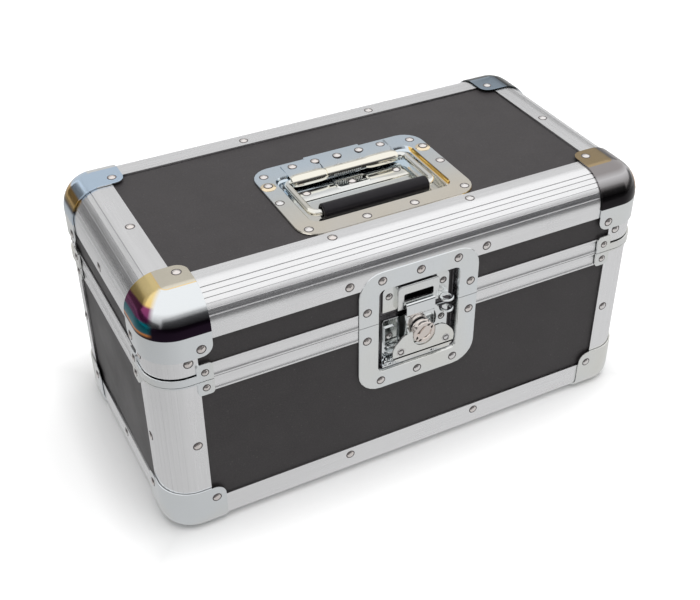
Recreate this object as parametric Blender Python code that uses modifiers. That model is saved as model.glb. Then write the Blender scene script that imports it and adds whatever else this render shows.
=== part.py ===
"""A small flight case for seven-inch records, with its lid, hinges, recessed handle and twist latch.

The case stands on its four bottom corner caps at z = 0. Its length runs along X, and its front
with the latch faces -Y. Rivet heads and the rims' corner brackets belong to the piece they are fixed to.
Sizes below are in millimetres times MM. "Plane" means the outer face of a laminated panel:
u is a distance inwards from the nearest side plane, and a height above the split is h.
"""
import math

import bmesh
import bpy
from mathutils import Matrix, Vector

MM = 0.001

# Overall sizes, between the outer faces of opposite panels
CASE_LENGTH = 419.0 * MM
CASE_DEPTH = 215.0 * MM
CASE_HEIGHT = 210.2 * MM
LID_HEIGHT = 67.0 * MM

# Sheet, gap and rivet sizes
GAP = 0.3 * MM
SPLIT_GAP = 0.4 * MM
WELD = 0.1 * MM
PANEL = 7.0 * MM
LINING = 3.0 * MM
RIVET_RADIUS = 3.2 * MM
RIVET_RISE = 1.3 * MM
SMALL_RIVET_RADIUS = 2.5 * MM
RIVET_CROWN = 0.62
RIVET_SIDES = 8
ROUND_END = 0.97
RIGHT_ANGLE = math.pi / 2

# How finely round shapes are drawn, and the smallest distances that count
FILLET_STEPS = 4
FLANGE_STEPS = 5
TUB_STEPS = 3
TAB_STEPS = 3
BRACKET_TAB_STEPS = 2
NOTCH_STEPS = 8
ROD_SIDES = 12
FINE_ROD_SIDES = 16
WIRE_SIDES = 10
HOLE_SIDES = 14
KNOB_SIDES = 24
BAIL_RESOLUTION = 2
WIRE_RESOLUTION = 1
SMOOTH_ANGLE = math.radians(40.0)
FACING = 0.9
NEAR = 0.01 * MM

# Aluminium edge extrusions
SKIN = 1.5 * MM
CORNER_RADIUS = 25.3 * MM
CORNER_STEPS = 5
TOP_ARM = 32.5 * MM
POST_ARM = 32.0 * MM
SLOT_ROOT = 21.0 * MM
INNER_LEAF = 28.0 * MM
BOTTOM_RADIUS = 10.0 * MM
BOTTOM_STEPS = 3
BOTTOM_ARM = 24.5 * MM
BOTTOM_SLOT_ROOT = 14.0 * MM
BOTTOM_LEAF = 20.0 * MM

# Rims where the lid meets the base: the lid's tongue drops into the base's groove
LID_BAND = 13.0 * MM
BASE_BAND = 12.0 * MM
RIM_LEAF = 11.0 * MM
LID_WEB = 5.0 * MM
BASE_WEB = 7.3 * MM
TONGUE_U = 3.5 * MM
TONGUE_WALL = 1.5 * MM
TONGUE_DROP = 4.0 * MM
GROOVE_DEPTH = 5.5 * MM
GROOVE_OUTER_ROOM = 1.0 * MM
GROOVE_INNER_ROOM = 1.2 * MM
LID_POST_LIFT = 7.5 * MM
BASE_POST_DROP = 1.2 * MM

# Corner caps and rim brackets
CAP_SHEET = 1.2 * MM
TOP_CAP_ARM = 43.8 * MM
TOP_CAP_DROP = 45.0 * MM
BOTTOM_CAP_ARM = 43.0 * MM
BOTTOM_CAP_RISE = 36.5 * MM
CAP_TAB_RADIUS = 9.0 * MM
CAP_RIVET = 35.0 * MM
TOP_CAP_RIVET_DROP = 38.0 * MM
BOTTOM_CAP_RIVET_RISE = 26.0 * MM
BRACKET_SHEET = 1.6 * MM
BRACKET_ARM = 42.3 * MM
BRACKET_TAB = 12.8 * MM
BRACKET_BAND = 6.3 * MM
LID_BRACKET_HEIGHT = 15.2 * MM
BASE_BRACKET_BAND = 7.5 * MM
BASE_BRACKET_HEIGHT = 12.6 * MM
BRACKET_TAB_RADIUS = 3.0 * MM

# Rivet places on the extrusions
EDGE_RIVET_X = 58.6 * MM
EDGE_RIVET_U = 25.6 * MM
BOTTOM_RIVET_U = 17.5 * MM
POST_RIVET_U = 25.0 * MM
POST_RIVET_H = 18.4 * MM
BASE_POST_RIVET_DROP = 60.0 * MM

# Hinges at the back
HINGE_INSET = 99.5 * MM
HINGE_LENGTH = 60.0 * MM
HINGE_SHEET = 1.5 * MM
HINGE_LEAF = 30.0 * MM
HINGE_CLEAR = 4.2 * MM
KNUCKLE_RADIUS = 3.5 * MM
KNUCKLE_SIDES = 14
KNUCKLE_LENGTH = 15.0 * MM
KNUCKLE_GAP = 0.5 * MM
PIN_RADIUS = 1.6 * MM
STOP_RISE = 5.0 * MM
STOP_LIP = 1.5 * MM
LID_OPEN = math.radians(100.0)
HINGE_RIVET_X = 21.0 * MM
HINGE_RIVET_NEAR = 9.8 * MM
HINGE_RIVET_FAR = 24.0 * MM

# Recessed handle in the lid
HANDLE_X = -1.8 * MM
HANDLE_SETBACK = 1.3 * MM
HANDLE_LENGTH = 150.8 * MM
HANDLE_DEPTH = 105.4 * MM
HANDLE_CORNER = 17.0 * MM
HANDLE_SHEET = 1.2 * MM
HANDLE_SIDE_BORDER = 14.0 * MM
HANDLE_FRONT_BORDER = 15.5 * MM
HANDLE_BACK_BORDER = 17.2 * MM
HANDLE_RECESS_CORNER = 9.0 * MM
HANDLE_RECESS = 9.0 * MM
BAIL_PIVOT_INSET = 6.5 * MM
BAIL_PIVOT_DROP = 2.2 * MM
BAIL_ROD = 2.8 * MM
BAIL_ARM_INSET = 8.4 * MM
GRIP_INSET = 16.5 * MM
BAIL_BACK_BEND = 5.5 * MM
BAIL_FRONT_BEND = 6.8 * MM
BAIL_END_X = 2.5 * MM
BAIL_BEND_STEPS = 4
GRIP_END = 0.45 * MM
GRIP_RADIUS = 6.5 * MM
GRIP_CHAMFER = 0.8 * MM
SPRING_WIRE = 0.6 * MM
SPRING_TURNS = 9
SPRING_LENGTH = 24.0 * MM
SPRING_POINTS = 10
HOOD_SHEET = 1.0 * MM
HOOD_END = 1.2 * MM
HOOD_WINDOW = 17.0 * MM
HOOD_ROOM = 0.3 * MM
HOOD_BACK = 20.5 * MM
HOOD_BROW = 2.5 * MM
HOOD_STEPS = 9
HOOD_END_ANGLE = math.radians(200.0)
FLOOR_PLATE_INSET = 13.4 * MM
FLOOR_PLATE_FRONT = 22.0 * MM
FLOOR_PLATE_BACK = 2.0 * MM
FLOOR_RIVET_X = 40.3 * MM
FLOOR_RIVET_Y = 11.5 * MM
HOOD_RIVET_PITCH = 19.9 * MM
CORNER_RIVET_INSET = 9.4 * MM
SIDE_RIVET_INSET = 6.2 * MM
BACK_RIVET_INSET = 8.7 * MM
BACK_CORNER_RIVET_INSET = 11.7 * MM
WASHER_INSET = 27.7 * MM
FRONT_RIVET_INSET = 7.2 * MM
WASHER_RADIUS = 6.3 * MM

# Twist latch in its recessed dish; depths out of the front plane are "proud"
LATCH_X = 0.8 * MM
LATCH_WIDTH = 103.8 * MM
LATCH_ABOVE = 46.7 * MM
LATCH_BELOW = 64.8 * MM
LATCH_CORNER = 19.0 * MM
LATCH_BORDER = 17.3 * MM
LATCH_RECESS_CORNER = 4.5 * MM
LATCH_FLANGE = 2.0 * MM
LATCH_SHEET = 1.2 * MM
LATCH_RECESS = 5.0 * MM
LATCH_RIVET_X = 32.6 * MM
LATCH_SIDE_RIVET_X = 45.0 * MM
LATCH_RIVET_INSET = 8.0 * MM
LATCH_SIDE_RIVET_H = 13.4 * MM
KEEPER_HALF = 16.8 * MM
KEEPER_TAB = 28.0 * MM
KEEPER_FACE = 0.6 * MM
KEEPER_TOP = 26.0 * MM
KEEPER_RIVET_H = 14.6 * MM
MOUNT_RIVET_DROP = 19.0 * MM
KEEPER_BOTTOM = 4.0 * MM
SLOT_HALF = 12.6 * MM
SLOT_LOW = 11.2 * MM
SLOT_HIGH = 18.0 * MM
EYE_X = 24.0 * MM
EYE_PROUD = 2.2 * MM
EYE_RADIUS = 5.6 * MM
EYE_HOLE = 3.3 * MM
EYE_SHEET = 1.5 * MM
MOUNT_HALF = 29.0 * MM
EAR_X = 26.5 * MM
EAR_PROUD = 2.7 * MM
EAR_HEIGHT = 8.0 * MM
PIVOT_DROP = 42.0 * MM
PIVOT_PIN = 2.0 * MM
SLEEVE_RADIUS = 3.0 * MM
CARRIER_HALF = 11.0 * MM
CARRIER_TOP = 6.0 * MM
CARRIER_SHEET = 1.5 * MM
DRAW_SHEET = 1.2 * MM
DRAW_BOTTOM = 30.0 * MM
DRAW_TRAVEL = 5.0 * MM
HOOK_H = 10.6 * MM
HOOK_RADIUS = 1.6 * MM
HOOK_GAP = 0.4 * MM
KNOB_DROP = 15.0 * MM
KNOB_RADIUS = 9.5 * MM
KNOB_PROUD = 11.0 * MM
KNOB_CHAMFER = 0.8 * MM
KNOB_SHAFT = 3.3 * MM
WING_AXIS_PROUD = 8.3 * MM
WING_PIN = 1.2 * MM
WING_PIN_HALF = 13.0 * MM
WING_SHEET = 1.4 * MM
WING_BACK = 9.0 * MM
WING_MARGIN = 3.0 * MM
WING_NOTCH = 9.9 * MM
WING_NOTCH_DROP = 2.0 * MM
WING_SHOULDER_X = 17.5 * MM
WING_HALF = 30.0 * MM
WING_TIP_DROP = 10.5 * MM
WING_LOBE_X = 24.0 * MM
WING_LOBE_DROP = 24.6 * MM
WING_WAIST_X = 9.0 * MM
WING_WAIST_DROP = 18.5 * MM
WING_SHOULDER_ROUND = 4.0 * MM
WING_TIP_ROUND = 7.5 * MM
WING_LOBE_ROUND = 8.0 * MM
WING_WAIST_ROUND = 9.0 * MM

# Levels and half sizes that follow from the sizes above
HALF_X = CASE_LENGTH / 2
HALF_Y = CASE_DEPTH / 2
PROUD = GAP + SKIN
CAP_PROUD = PROUD + GAP + CAP_SHEET
BOTTOM = CAP_PROUD
TOP = BOTTOM + CASE_HEIGHT
SPLIT = TOP - LID_HEIGHT
LEAF_IN = PANEL + GAP
LEAF_OUT = LEAF_IN + SKIN
CAP_RADIUS = CORNER_RADIUS + GAP + CAP_SHEET
LINING_U = LEAF_OUT + GAP
HALF_SPLIT = SPLIT_GAP / 2
RIM_PROUD = PROUD - GAP - WELD
BRACKET_PROUD = RIM_PROUD + GAP + BRACKET_SHEET
BRACKET_RADIUS = CORNER_RADIUS - WELD + BRACKET_SHEET
LEAF_BACK = HALF_Y + RIM_PROUD + GAP
HINGE_PROUD = RIM_PROUD + GAP + KNUCKLE_RADIUS
HINGE_Y = HALF_Y + HINGE_PROUD
STOP_REACH = (STOP_RISE - GAP + (STOP_RISE + STOP_LIP) * math.cos(LID_OPEN)) / math.sin(LID_OPEN)
HINGE_X = HALF_X - HINGE_INSET
HANDLE_FRONT = TOP_ARM + HANDLE_SETBACK - HALF_Y
HANDLE_BACK = HANDLE_FRONT + HANDLE_DEPTH
HANDLE_HALF = HANDLE_LENGTH / 2
RECESS_FRONT = HANDLE_FRONT + HANDLE_FRONT_BORDER
RECESS_BACK = HANDLE_BACK - HANDLE_BACK_BORDER
PIVOT_Y = RECESS_BACK - BAIL_PIVOT_INSET
BAIL_REACH = PIVOT_Y - RECESS_FRONT - GRIP_INSET
BAIL_ARM_X = HANDLE_HALF - HANDLE_SIDE_BORDER - BAIL_ARM_INSET
GRIP_HALF = BAIL_ARM_X - BAIL_FRONT_BEND - GRIP_END
HOOD_HALF = BAIL_ARM_X - BAIL_BACK_BEND - HOOD_END
FLOOR_PLATE_HALF = HANDLE_HALF - HANDLE_SIDE_BORDER - FLOOR_PLATE_INSET
PIVOT_Z = TOP - BAIL_PIVOT_DROP
LATCH_FACE = GAP + LATCH_FLANGE
MOUNT_BACK = GAP - LATCH_RECESS
MOUNT_FACE = MOUNT_BACK + LATCH_SHEET
DRAW_BACK = SLEEVE_RADIUS + GAP
DRAW_FACE = DRAW_BACK + DRAW_SHEET
LATCH_PIVOT_Z = SPLIT - PIVOT_DROP
KNOB_Z = SPLIT - KNOB_DROP
STOP_SHELF = STOP_RISE + STOP_LIP
BACK_REACH = HINGE_PROUD + STOP_SHELF
CASE_Y = (KNOB_PROUD - BACK_REACH) / 2

SATIN = ((0.72, 0.73, 0.74), 0.35, 1.0)
ZINC = ((0.78, 0.80, 0.82), 0.18, 1.0)
LAMINATE = ((0.055, 0.048, 0.046), 0.45, 0.0)
FOAM = ((0.03, 0.03, 0.032), 0.95, 0.0)
RUBBER = ((0.015, 0.015, 0.016), 0.6, 0.0)
STEEL = ((0.6, 0.6, 0.6), 0.3, 1.0)

for old in list(bpy.data.objects):
    bpy.data.objects.remove(old)

PARTS = bpy.data.collections.new("record_flight_case")
CUTTERS = bpy.data.collections.new("cutters")
bpy.context.scene.collection.children.link(PARTS)
bpy.context.scene.collection.children.link(CUTTERS)


def empty(name, location, parent=None):
    """An empty that carries the pieces of one moving body."""
    frame = bpy.data.objects.new(name, None)
    PARTS.objects.link(frame)
    frame.location = location
    frame.parent = parent
    return frame


def carried(name, point, parent, parent_point):
    """An empty at a point of the case, under another empty."""
    return empty(name, Vector(point) - Vector(parent_point), parent)


HINGE_POINT = (0, HINGE_Y, SPLIT)
BAIL_POINT = (HANDLE_X, PIVOT_Y, PIVOT_Z)
CARRIER_POINT = (LATCH_X, -HALF_Y, LATCH_PIVOT_Z)
KNOB_POINT = (LATCH_X, -HALF_Y - DRAW_FACE, KNOB_Z)
WING_POINT = (LATCH_X, -HALF_Y - WING_AXIS_PROUD, KNOB_Z)

case_frame = empty("case_frame", (0, CASE_Y, 0))
lid_frame = carried("lid_frame", HINGE_POINT, case_frame, (0, 0, 0))
bail_frame = carried("bail_frame", BAIL_POINT, lid_frame, HINGE_POINT)
carrier_frame = carried("carrier_frame", CARRIER_POINT, case_frame, (0, 0, 0))
draw_frame = carried("draw_frame", CARRIER_POINT, carrier_frame, CARRIER_POINT)
knob_frame = carried("knob_frame", KNOB_POINT, carrier_frame, CARRIER_POINT)
wing_frame = carried("wing_frame", WING_POINT, knob_frame, KNOB_POINT)
FRAME_POINTS = {
    "case_frame": (0, 0, 0),
    "lid_frame": HINGE_POINT,
    "bail_frame": BAIL_POINT,
    "carrier_frame": CARRIER_POINT,
    "draw_frame": CARRIER_POINT,
    "knob_frame": KNOB_POINT,
    "wing_frame": WING_POINT,
}


def carry(piece, frame):
    """Parent a piece to an empty without moving it in the case."""
    piece.parent = frame
    piece.matrix_parent_inverse = Matrix.Translation(-Vector(FRAME_POINTS[frame.name]))


def finish_piece(piece, frame, look):
    """Give a piece its own material and hang it on the empty that moves it."""
    colour, roughness, metallic = look
    surface = bpy.data.materials.new(piece.name)
    surface.use_nodes = True
    shader = surface.node_tree.nodes["Principled BSDF"]
    shader.inputs["Base Color"].default_value = (*colour, 1.0)
    shader.inputs["Roughness"].default_value = roughness
    shader.inputs["Metallic"].default_value = metallic
    piece.data.materials.clear()
    piece.data.materials.append(surface)
    carry(piece, frame)
    return piece


def mesh_object(name, bm):
    """Turn a bmesh into an object in the parts collection."""
    mesh = bpy.data.meshes.new(name)
    bm.to_mesh(mesh)
    bm.free()
    piece = bpy.data.objects.new(name, mesh)
    PARTS.objects.link(piece)
    return piece


def smooth(piece):
    """Shade a round piece smooth, with its sharp edges kept."""
    piece.data.shade_smooth()
    piece.data.set_sharp_from_angle(angle=SMOOTH_ANGLE)
    return piece


def arc(centre, radius, start, end, steps):
    """Points along an arc, both ends included."""
    points = []
    for index in range(steps + 1):
        turn = start + (end - start) * index / steps
        points.append((centre[0] + radius * math.cos(turn), centre[1] + radius * math.sin(turn)))
    return points


def rounded(corners, steps=FILLET_STEPS):
    """A closed outline from (x, y, radius) corners, each corner with its own rounding."""
    points = []
    count = len(corners)
    for index, (x, y, radius) in enumerate(corners):
        here = Vector((x, y))
        before = (Vector(corners[index - 1][:2]) - here).normalized()
        after = (Vector(corners[(index + 1) % count][:2]) - here).normalized()
        if radius <= 0:
            points.append((x, y))
            continue
        half = before.angle(after) / 2
        start = here + before * radius / math.tan(half)
        end = here + after * radius / math.tan(half)
        middle = here + (before + after).normalized() * radius / math.sin(half)
        first = math.atan2(start.y - middle.y, start.x - middle.x)
        last = math.atan2(end.y - middle.y, end.x - middle.x)
        sweep = (last - first + math.pi) % (2 * math.pi) - math.pi
        points += arc(middle, radius, first, first + sweep, steps)
    return points


def rectangle(x0, x1, y0, y1, radius=0.0, steps=FILLET_STEPS):
    """A rectangle's outline with equal corner roundings."""
    return rounded([(x0, y0, radius), (x1, y0, radius), (x1, y1, radius), (x0, y1, radius)], steps)


def circle(x, y, radius, sides):
    """A closed circle's outline."""
    return arc((x, y), radius, 0, 2 * math.pi * (sides - 1) / sides, sides - 1)


TURNS = {
    "x": Matrix(((0, 0, 1), (1, 0, 0), (0, 1, 0))).to_4x4(),
    "y": Matrix(((1, 0, 0), (0, 0, -1), (0, 1, 0))).to_4x4(),
    "z": Matrix.Identity(4),
}


def prism(name, loops, low, high, along):
    """Extrude flat outlines from low to high along an axis; later loops are holes.

    Outlines along X are in (y, z), along Z in (x, y). Along Y they are in (x, z), and low and high
    count towards -Y, out of the front.
    """
    outline = bpy.data.curves.new(name, "CURVE")
    outline.dimensions = "2D"
    outline.fill_mode = "BOTH"
    outline.extrude = (high - low) / 2
    for loop in loops:
        spline = outline.splines.new("POLY")
        spline.points.add(len(loop) - 1)
        for point, (x, y) in zip(spline.points, loop):
            point.co = (x, y, 0, 1)
        spline.use_cyclic_u = True
    flat = bpy.data.objects.new(name + "_outline", outline)
    PARTS.objects.link(flat)
    flat.matrix_world = TURNS[along] @ Matrix.Translation((0, 0, (low + high) / 2))
    bpy.context.view_layer.update()
    mesh = bpy.data.meshes.new_from_object(flat.evaluated_get(bpy.context.evaluated_depsgraph_get()))
    mesh.name = name
    place = flat.matrix_world.copy()
    bpy.data.objects.remove(flat)
    bpy.data.curves.remove(outline)
    bm = bmesh.new()
    bm.from_mesh(mesh)
    bmesh.ops.remove_doubles(bm, verts=bm.verts, dist=NEAR)
    bmesh.ops.recalc_face_normals(bm, faces=bm.faces)
    bm.to_mesh(mesh)
    bm.free()
    piece = bpy.data.objects.new(name, mesh)
    PARTS.objects.link(piece)
    piece.matrix_world = place
    return piece


def block(name, low, high):
    """A box between two corners."""
    bm = bmesh.new()
    size = Vector(high) - Vector(low)
    centre = (Vector(high) + Vector(low)) / 2
    place = Matrix.Translation(centre) @ Matrix.Diagonal((*size, 1))
    bmesh.ops.create_cube(bm, size=1, matrix=place)
    return mesh_object(name, bm)


AIM = {
    "+x": Matrix.Rotation(RIGHT_ANGLE, 4, "Y"),
    "-x": Matrix.Rotation(-RIGHT_ANGLE, 4, "Y"),
    "+y": Matrix.Rotation(-RIGHT_ANGLE, 4, "X"),
    "-y": Matrix.Rotation(RIGHT_ANGLE, 4, "X"),
    "+z": Matrix.Identity(4),
    "-z": Matrix.Rotation(math.pi, 4, "X"),
}


def add_cone(bm, base, aim, foot, head, height, sides):
    """Add a round solid that stands on a base point and points along an axis."""
    place = Matrix.Translation(base) @ AIM[aim] @ Matrix.Translation((0, 0, height / 2))
    bmesh.ops.create_cone(bm, cap_ends=True, segments=sides, radius1=foot, radius2=head, depth=height,
                          matrix=place)


def rod(name, start, aim, radius, length, sides=ROD_SIDES):
    """A plain round bar."""
    bm = bmesh.new()
    add_cone(bm, start, aim, radius, radius, length, sides)
    return smooth(mesh_object(name, bm))


def retire(piece):
    """Keep a shape that only cuts or joins in the cutters' collection, out of the build."""
    PARTS.objects.unlink(piece)
    CUTTERS.objects.link(piece)
    piece.hide_render = True
    piece.display_type = "WIRE"
    carry(piece, case_frame)


def combine(piece, others, operation):
    """Join other shapes to a piece, or cut them out of it."""
    for index, other in enumerate(others):
        retire(other)
        change = piece.modifiers.new(operation.lower() + str(index), "BOOLEAN")
        change.operation = operation
        change.object = other
        change.solver = "EXACT"
    return piece


def cut(piece, *others):
    return combine(piece, others, "DIFFERENCE")


def join(piece, *others):
    return combine(piece, others, "UNION")


def fasten(piece, spots, radius=RIVET_RADIUS):
    """Join domed rivet heads onto a piece, each at a point of its face and along an axis."""
    bm = bmesh.new()
    for point, aim in spots:
        sunk = Vector(point) - AIM[aim] @ Vector((0, 0, WELD))
        add_cone(bm, sunk, aim, radius, radius * RIVET_CROWN, RIVET_RISE + WELD, RIVET_SIDES)
    return join(piece, mesh_object(piece.name + "_rivets", bm))


def edge_section(arm, radius, root, leaf, steps):
    """Section of an edge extrusion in distances from two planes, and its hollow chamber."""
    centre = radius - PROUD
    outer = [(arm, -PROUD)]
    outer += arc((centre, centre), radius, -RIGHT_ANGLE, -math.pi, steps)
    outer += [(-PROUD, arm), (-GAP, arm), (-GAP, root), (LEAF_IN, root), (LEAF_IN, leaf),
              (LEAF_OUT, leaf), (LEAF_OUT, LEAF_OUT), (leaf, LEAF_OUT), (leaf, LEAF_IN),
              (root, LEAF_IN), (root, -GAP), (arm, -GAP)]
    wall = radius - SKIN
    reach = root - SKIN
    side = centre - math.sqrt(wall ** 2 - max(centre - reach, 0) ** 2)
    first = math.atan2(side - centre, min(reach - centre, 0))
    chamber = arc((centre, centre), wall, first, -3 * RIGHT_ANGLE - first, steps)
    if reach > centre:
        chamber = [(reach, side)] + chamber + [(side, reach)]
    chamber += [(PANEL, reach), (PANEL, PANEL), (reach, PANEL)]
    return outer, chamber


def mapped(loops, x_origin, x_way, y_origin, y_way):
    """Set section loops against two planes: each distance counts from an origin in one direction."""
    return [[(x_origin + x_way * a, y_origin + y_way * b) for a, b in loop] for loop in loops]


TOP_SECTION = edge_section(TOP_ARM, CORNER_RADIUS, SLOT_ROOT, INNER_LEAF, CORNER_STEPS)
POST_SECTION = edge_section(POST_ARM, CORNER_RADIUS, SLOT_ROOT, INNER_LEAF, CORNER_STEPS)
BOTTOM_SECTION = edge_section(BOTTOM_ARM, BOTTOM_RADIUS, BOTTOM_SLOT_ROOT, BOTTOM_LEAF, BOTTOM_STEPS)
SIDES = (("front", -1, "-y"), ("back", 1, "+y"))
ENDS = (("left", -1, "-x"), ("right", 1, "+x"))
CORNERS = [(side + "_" + end, x_sign, y_sign, x_aim, y_aim)
           for side, y_sign, y_aim in SIDES for end, x_sign, x_aim in ENDS]
EDGE_HALF_X = HALF_X - CORNER_RADIUS + PROUD - GAP


def make_edges(prefix, section, arm, level, way, rivet_inset, frame):
    """Four edge extrusions round the top or the bottom; way points into the case."""
    height = level + way * rivet_inset
    for side, sign, aim in SIDES:
        loops = mapped(section, sign * HALF_Y, -sign, level, way)
        edge = prism(prefix + "_" + side, loops, -EDGE_HALF_X, EDGE_HALF_X, "x")
        spots = [(hand * EDGE_RIVET_X, sign * (HALF_Y + PROUD), height) for hand in (-1, 1)]
        if prefix == "lid_edge":
            crown = sign * (HALF_Y - EDGE_RIVET_U)
            fasten(edge, [((hand * EDGE_RIVET_X, crown, TOP + PROUD), "+z") for hand in (-1, 1)])
            if side == "front":
                cut(edge, prism("edge_notch", [latch_outline(GAP)], HALF_Y, HALF_Y + 2 * PROUD, "y"))
        fasten(edge, [(spot, aim) for spot in spots])
        finish_piece(smooth(edge), frame, SATIN)
    half = HALF_Y - arm - GAP
    for end, sign, aim in ENDS:
        loops = mapped(section, sign * HALF_X, -sign, level, way)
        edge = prism(prefix + "_" + end, loops, -half, half, "y")
        spots = [((sign * (HALF_X + PROUD), 0, height), aim)]
        if prefix == "lid_edge":
            spots.append(((sign * (HALF_X - EDGE_RIVET_U), 0, TOP + PROUD), "+z"))
        fasten(edge, spots)
        finish_piece(smooth(edge), frame, SATIN)


def make_posts(prefix, low, high, rivet_level, band, height, way, frame):
    """Four corner posts, each with the rim bracket that is riveted to its end at the split."""
    for corner, x_sign, y_sign, x_aim, y_aim in CORNERS:
        loops = mapped(POST_SECTION, x_sign * HALF_X, -x_sign, y_sign * HALF_Y, -y_sign)
        post = prism(prefix + "_" + corner, loops, low, high, "z")
        bracket = mesh_object(prefix + "_bracket", bracket_patch(band, height, way))
        mirror_patch(bracket, x_sign, y_sign, 1)
        bracket.location = (x_sign * (HALF_X + BRACKET_PROUD), y_sign * (HALF_Y + BRACKET_PROUD),
                            SPLIT + way * HALF_SPLIT)
        thicken(bracket, BRACKET_SHEET)
        join(post, bracket)
        spots = [((x_sign * (HALF_X - POST_RIVET_U), y_sign * (HALF_Y + PROUD), rivet_level), y_aim),
                 ((x_sign * (HALF_X + PROUD), y_sign * (HALF_Y - POST_RIVET_U), rivet_level), x_aim)]
        fasten(post, spots)
        tab = BRACKET_ARM - BRACKET_TAB / 2
        middle = SPLIT + way * height / 2
        spots = [((x_sign * (HALF_X - tab), y_sign * (HALF_Y + BRACKET_PROUD), middle), y_aim),
                 ((x_sign * (HALF_X + BRACKET_PROUD), y_sign * (HALF_Y - tab), middle), x_aim)]
        fasten(post, spots, SMALL_RIVET_RADIUS)
        finish_piece(smooth(post), frame, SATIN)


def lid_rim_section():
    """Lid rim: outer band, panel slot and the tongue, in distances (u, h)."""
    tongue_in = TONGUE_U + TONGUE_WALL
    return [(-RIM_PROUD, HALF_SPLIT), (-RIM_PROUD, LID_BAND), (-GAP, LID_BAND), (-GAP, LID_WEB),
            (LEAF_IN, LID_WEB), (LEAF_IN, RIM_LEAF), (LEAF_OUT, RIM_LEAF), (LEAF_OUT, SPLIT_GAP),
            (tongue_in, SPLIT_GAP), (tongue_in, -TONGUE_DROP), (TONGUE_U, -TONGUE_DROP),
            (TONGUE_U, HALF_SPLIT)]


def base_rim_section():
    """Base rim: outer band, panel slot and the groove round the lid's tongue."""
    groove_out = TONGUE_U - GROOVE_OUTER_ROOM
    groove_in = TONGUE_U + TONGUE_WALL + GROOVE_INNER_ROOM
    return [(-RIM_PROUD, -HALF_SPLIT), (-RIM_PROUD, -BASE_BAND), (-GAP, -BASE_BAND), (-GAP, -BASE_WEB),
            (LEAF_IN, -BASE_WEB), (LEAF_IN, -BASE_BAND), (LEAF_OUT, -BASE_BAND),
            (LEAF_OUT, -SPLIT_GAP), (groove_in, -SPLIT_GAP), (groove_in, -GROOVE_DEPTH),
            (groove_out, -GROOVE_DEPTH), (groove_out, -HALF_SPLIT)]


def make_rims(prefix, section, frame):
    """Four rims between the corner posts; the front one is notched round the latch dish."""
    half_x = HALF_X - POST_ARM - GAP
    half_y = HALF_Y - POST_ARM - GAP
    for side, sign, _ in SIDES:
        loops = mapped([section], sign * HALF_Y, -sign, SPLIT, 1)
        rim = prism(prefix + "_" + side, loops, -half_x, half_x, "x")
        if side == "front":
            notch = LATCH_WIDTH / 2 + GAP
            cut(rim, block(prefix + "_notch", (LATCH_X - notch, -HALF_Y - 2 * PROUD, SPLIT - LID_BAND - GAP),
                           (LATCH_X + notch, -HALF_Y + PANEL, SPLIT + LID_BAND + GAP)))
        finish_piece(rim, frame, SATIN)
    for end, sign, _ in ENDS:
        loops = mapped([section], sign * HALF_X, -sign, SPLIT, 1)
        finish_piece(prism(prefix + "_" + end, loops, -half_y, half_y, "y"), frame, SATIN)


PANEL_HALF_X = HALF_X - SLOT_ROOT - GAP
PANEL_HALF_Y = HALF_Y - SLOT_ROOT - GAP
RECESS_HALF = LATCH_WIDTH / 2 - LATCH_BORDER
TUB_HALF = RECESS_HALF + LATCH_SHEET


def panel(name, low, high, frame, *holes):
    """A laminated panel, with the openings that its fittings need."""
    return finish_piece(cut(block(name, low, high), *holes), frame, LAMINATE)


def make_panels():
    """Bottom, top and the eight upright panels."""
    half_x = HALF_X - BOTTOM_SLOT_ROOT - GAP
    half_y = HALF_Y - BOTTOM_SLOT_ROOT - GAP
    panel("bottom_panel", (-half_x, -half_y, BOTTOM), (half_x, half_y, BOTTOM + PANEL), case_frame)
    tub = handle_recess(HANDLE_SHEET + GAP)
    hole = prism("handle_hole", [tub], TOP - 2 * PANEL, TOP + PANEL, "z")
    panel("lid_top_panel", (-PANEL_HALF_X, -PANEL_HALF_Y, TOP - PANEL), (PANEL_HALF_X, PANEL_HALF_Y, TOP),
          lid_frame, hole)
    base = (BOTTOM + BOTTOM_SLOT_ROOT + GAP, SPLIT - BASE_WEB - GAP)
    lid = (SPLIT + LID_WEB + GAP, TOP - SLOT_ROOT - GAP)
    side = TUB_HALF + GAP
    latch_low = SPLIT - LATCH_BELOW + LATCH_BORDER - LATCH_SHEET - GAP
    latch_high = SPLIT + LATCH_ABOVE - LATCH_BORDER + LATCH_SHEET + GAP
    for prefix, (low, high), frame in (("base", base, case_frame), ("lid", lid, lid_frame)):
        hole = block(prefix + "_latch_hole", (LATCH_X - side, -HALF_Y - PANEL, latch_low),
                     (LATCH_X + side, -HALF_Y + 2 * PANEL, latch_high))
        panel(prefix + "_front_panel", (-PANEL_HALF_X, -HALF_Y, low),
              (PANEL_HALF_X, -HALF_Y + PANEL, high), frame, hole)
        panel(prefix + "_back_panel", (-PANEL_HALF_X, HALF_Y - PANEL, low),
              (PANEL_HALF_X, HALF_Y, high), frame)
        panel(prefix + "_left_panel", (-HALF_X, -PANEL_HALF_Y, low),
              (-HALF_X + PANEL, PANEL_HALF_Y, high), frame)
        panel(prefix + "_right_panel", (HALF_X - PANEL, -PANEL_HALF_Y, low),
              (HALF_X, PANEL_HALF_Y, high), frame)


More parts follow.
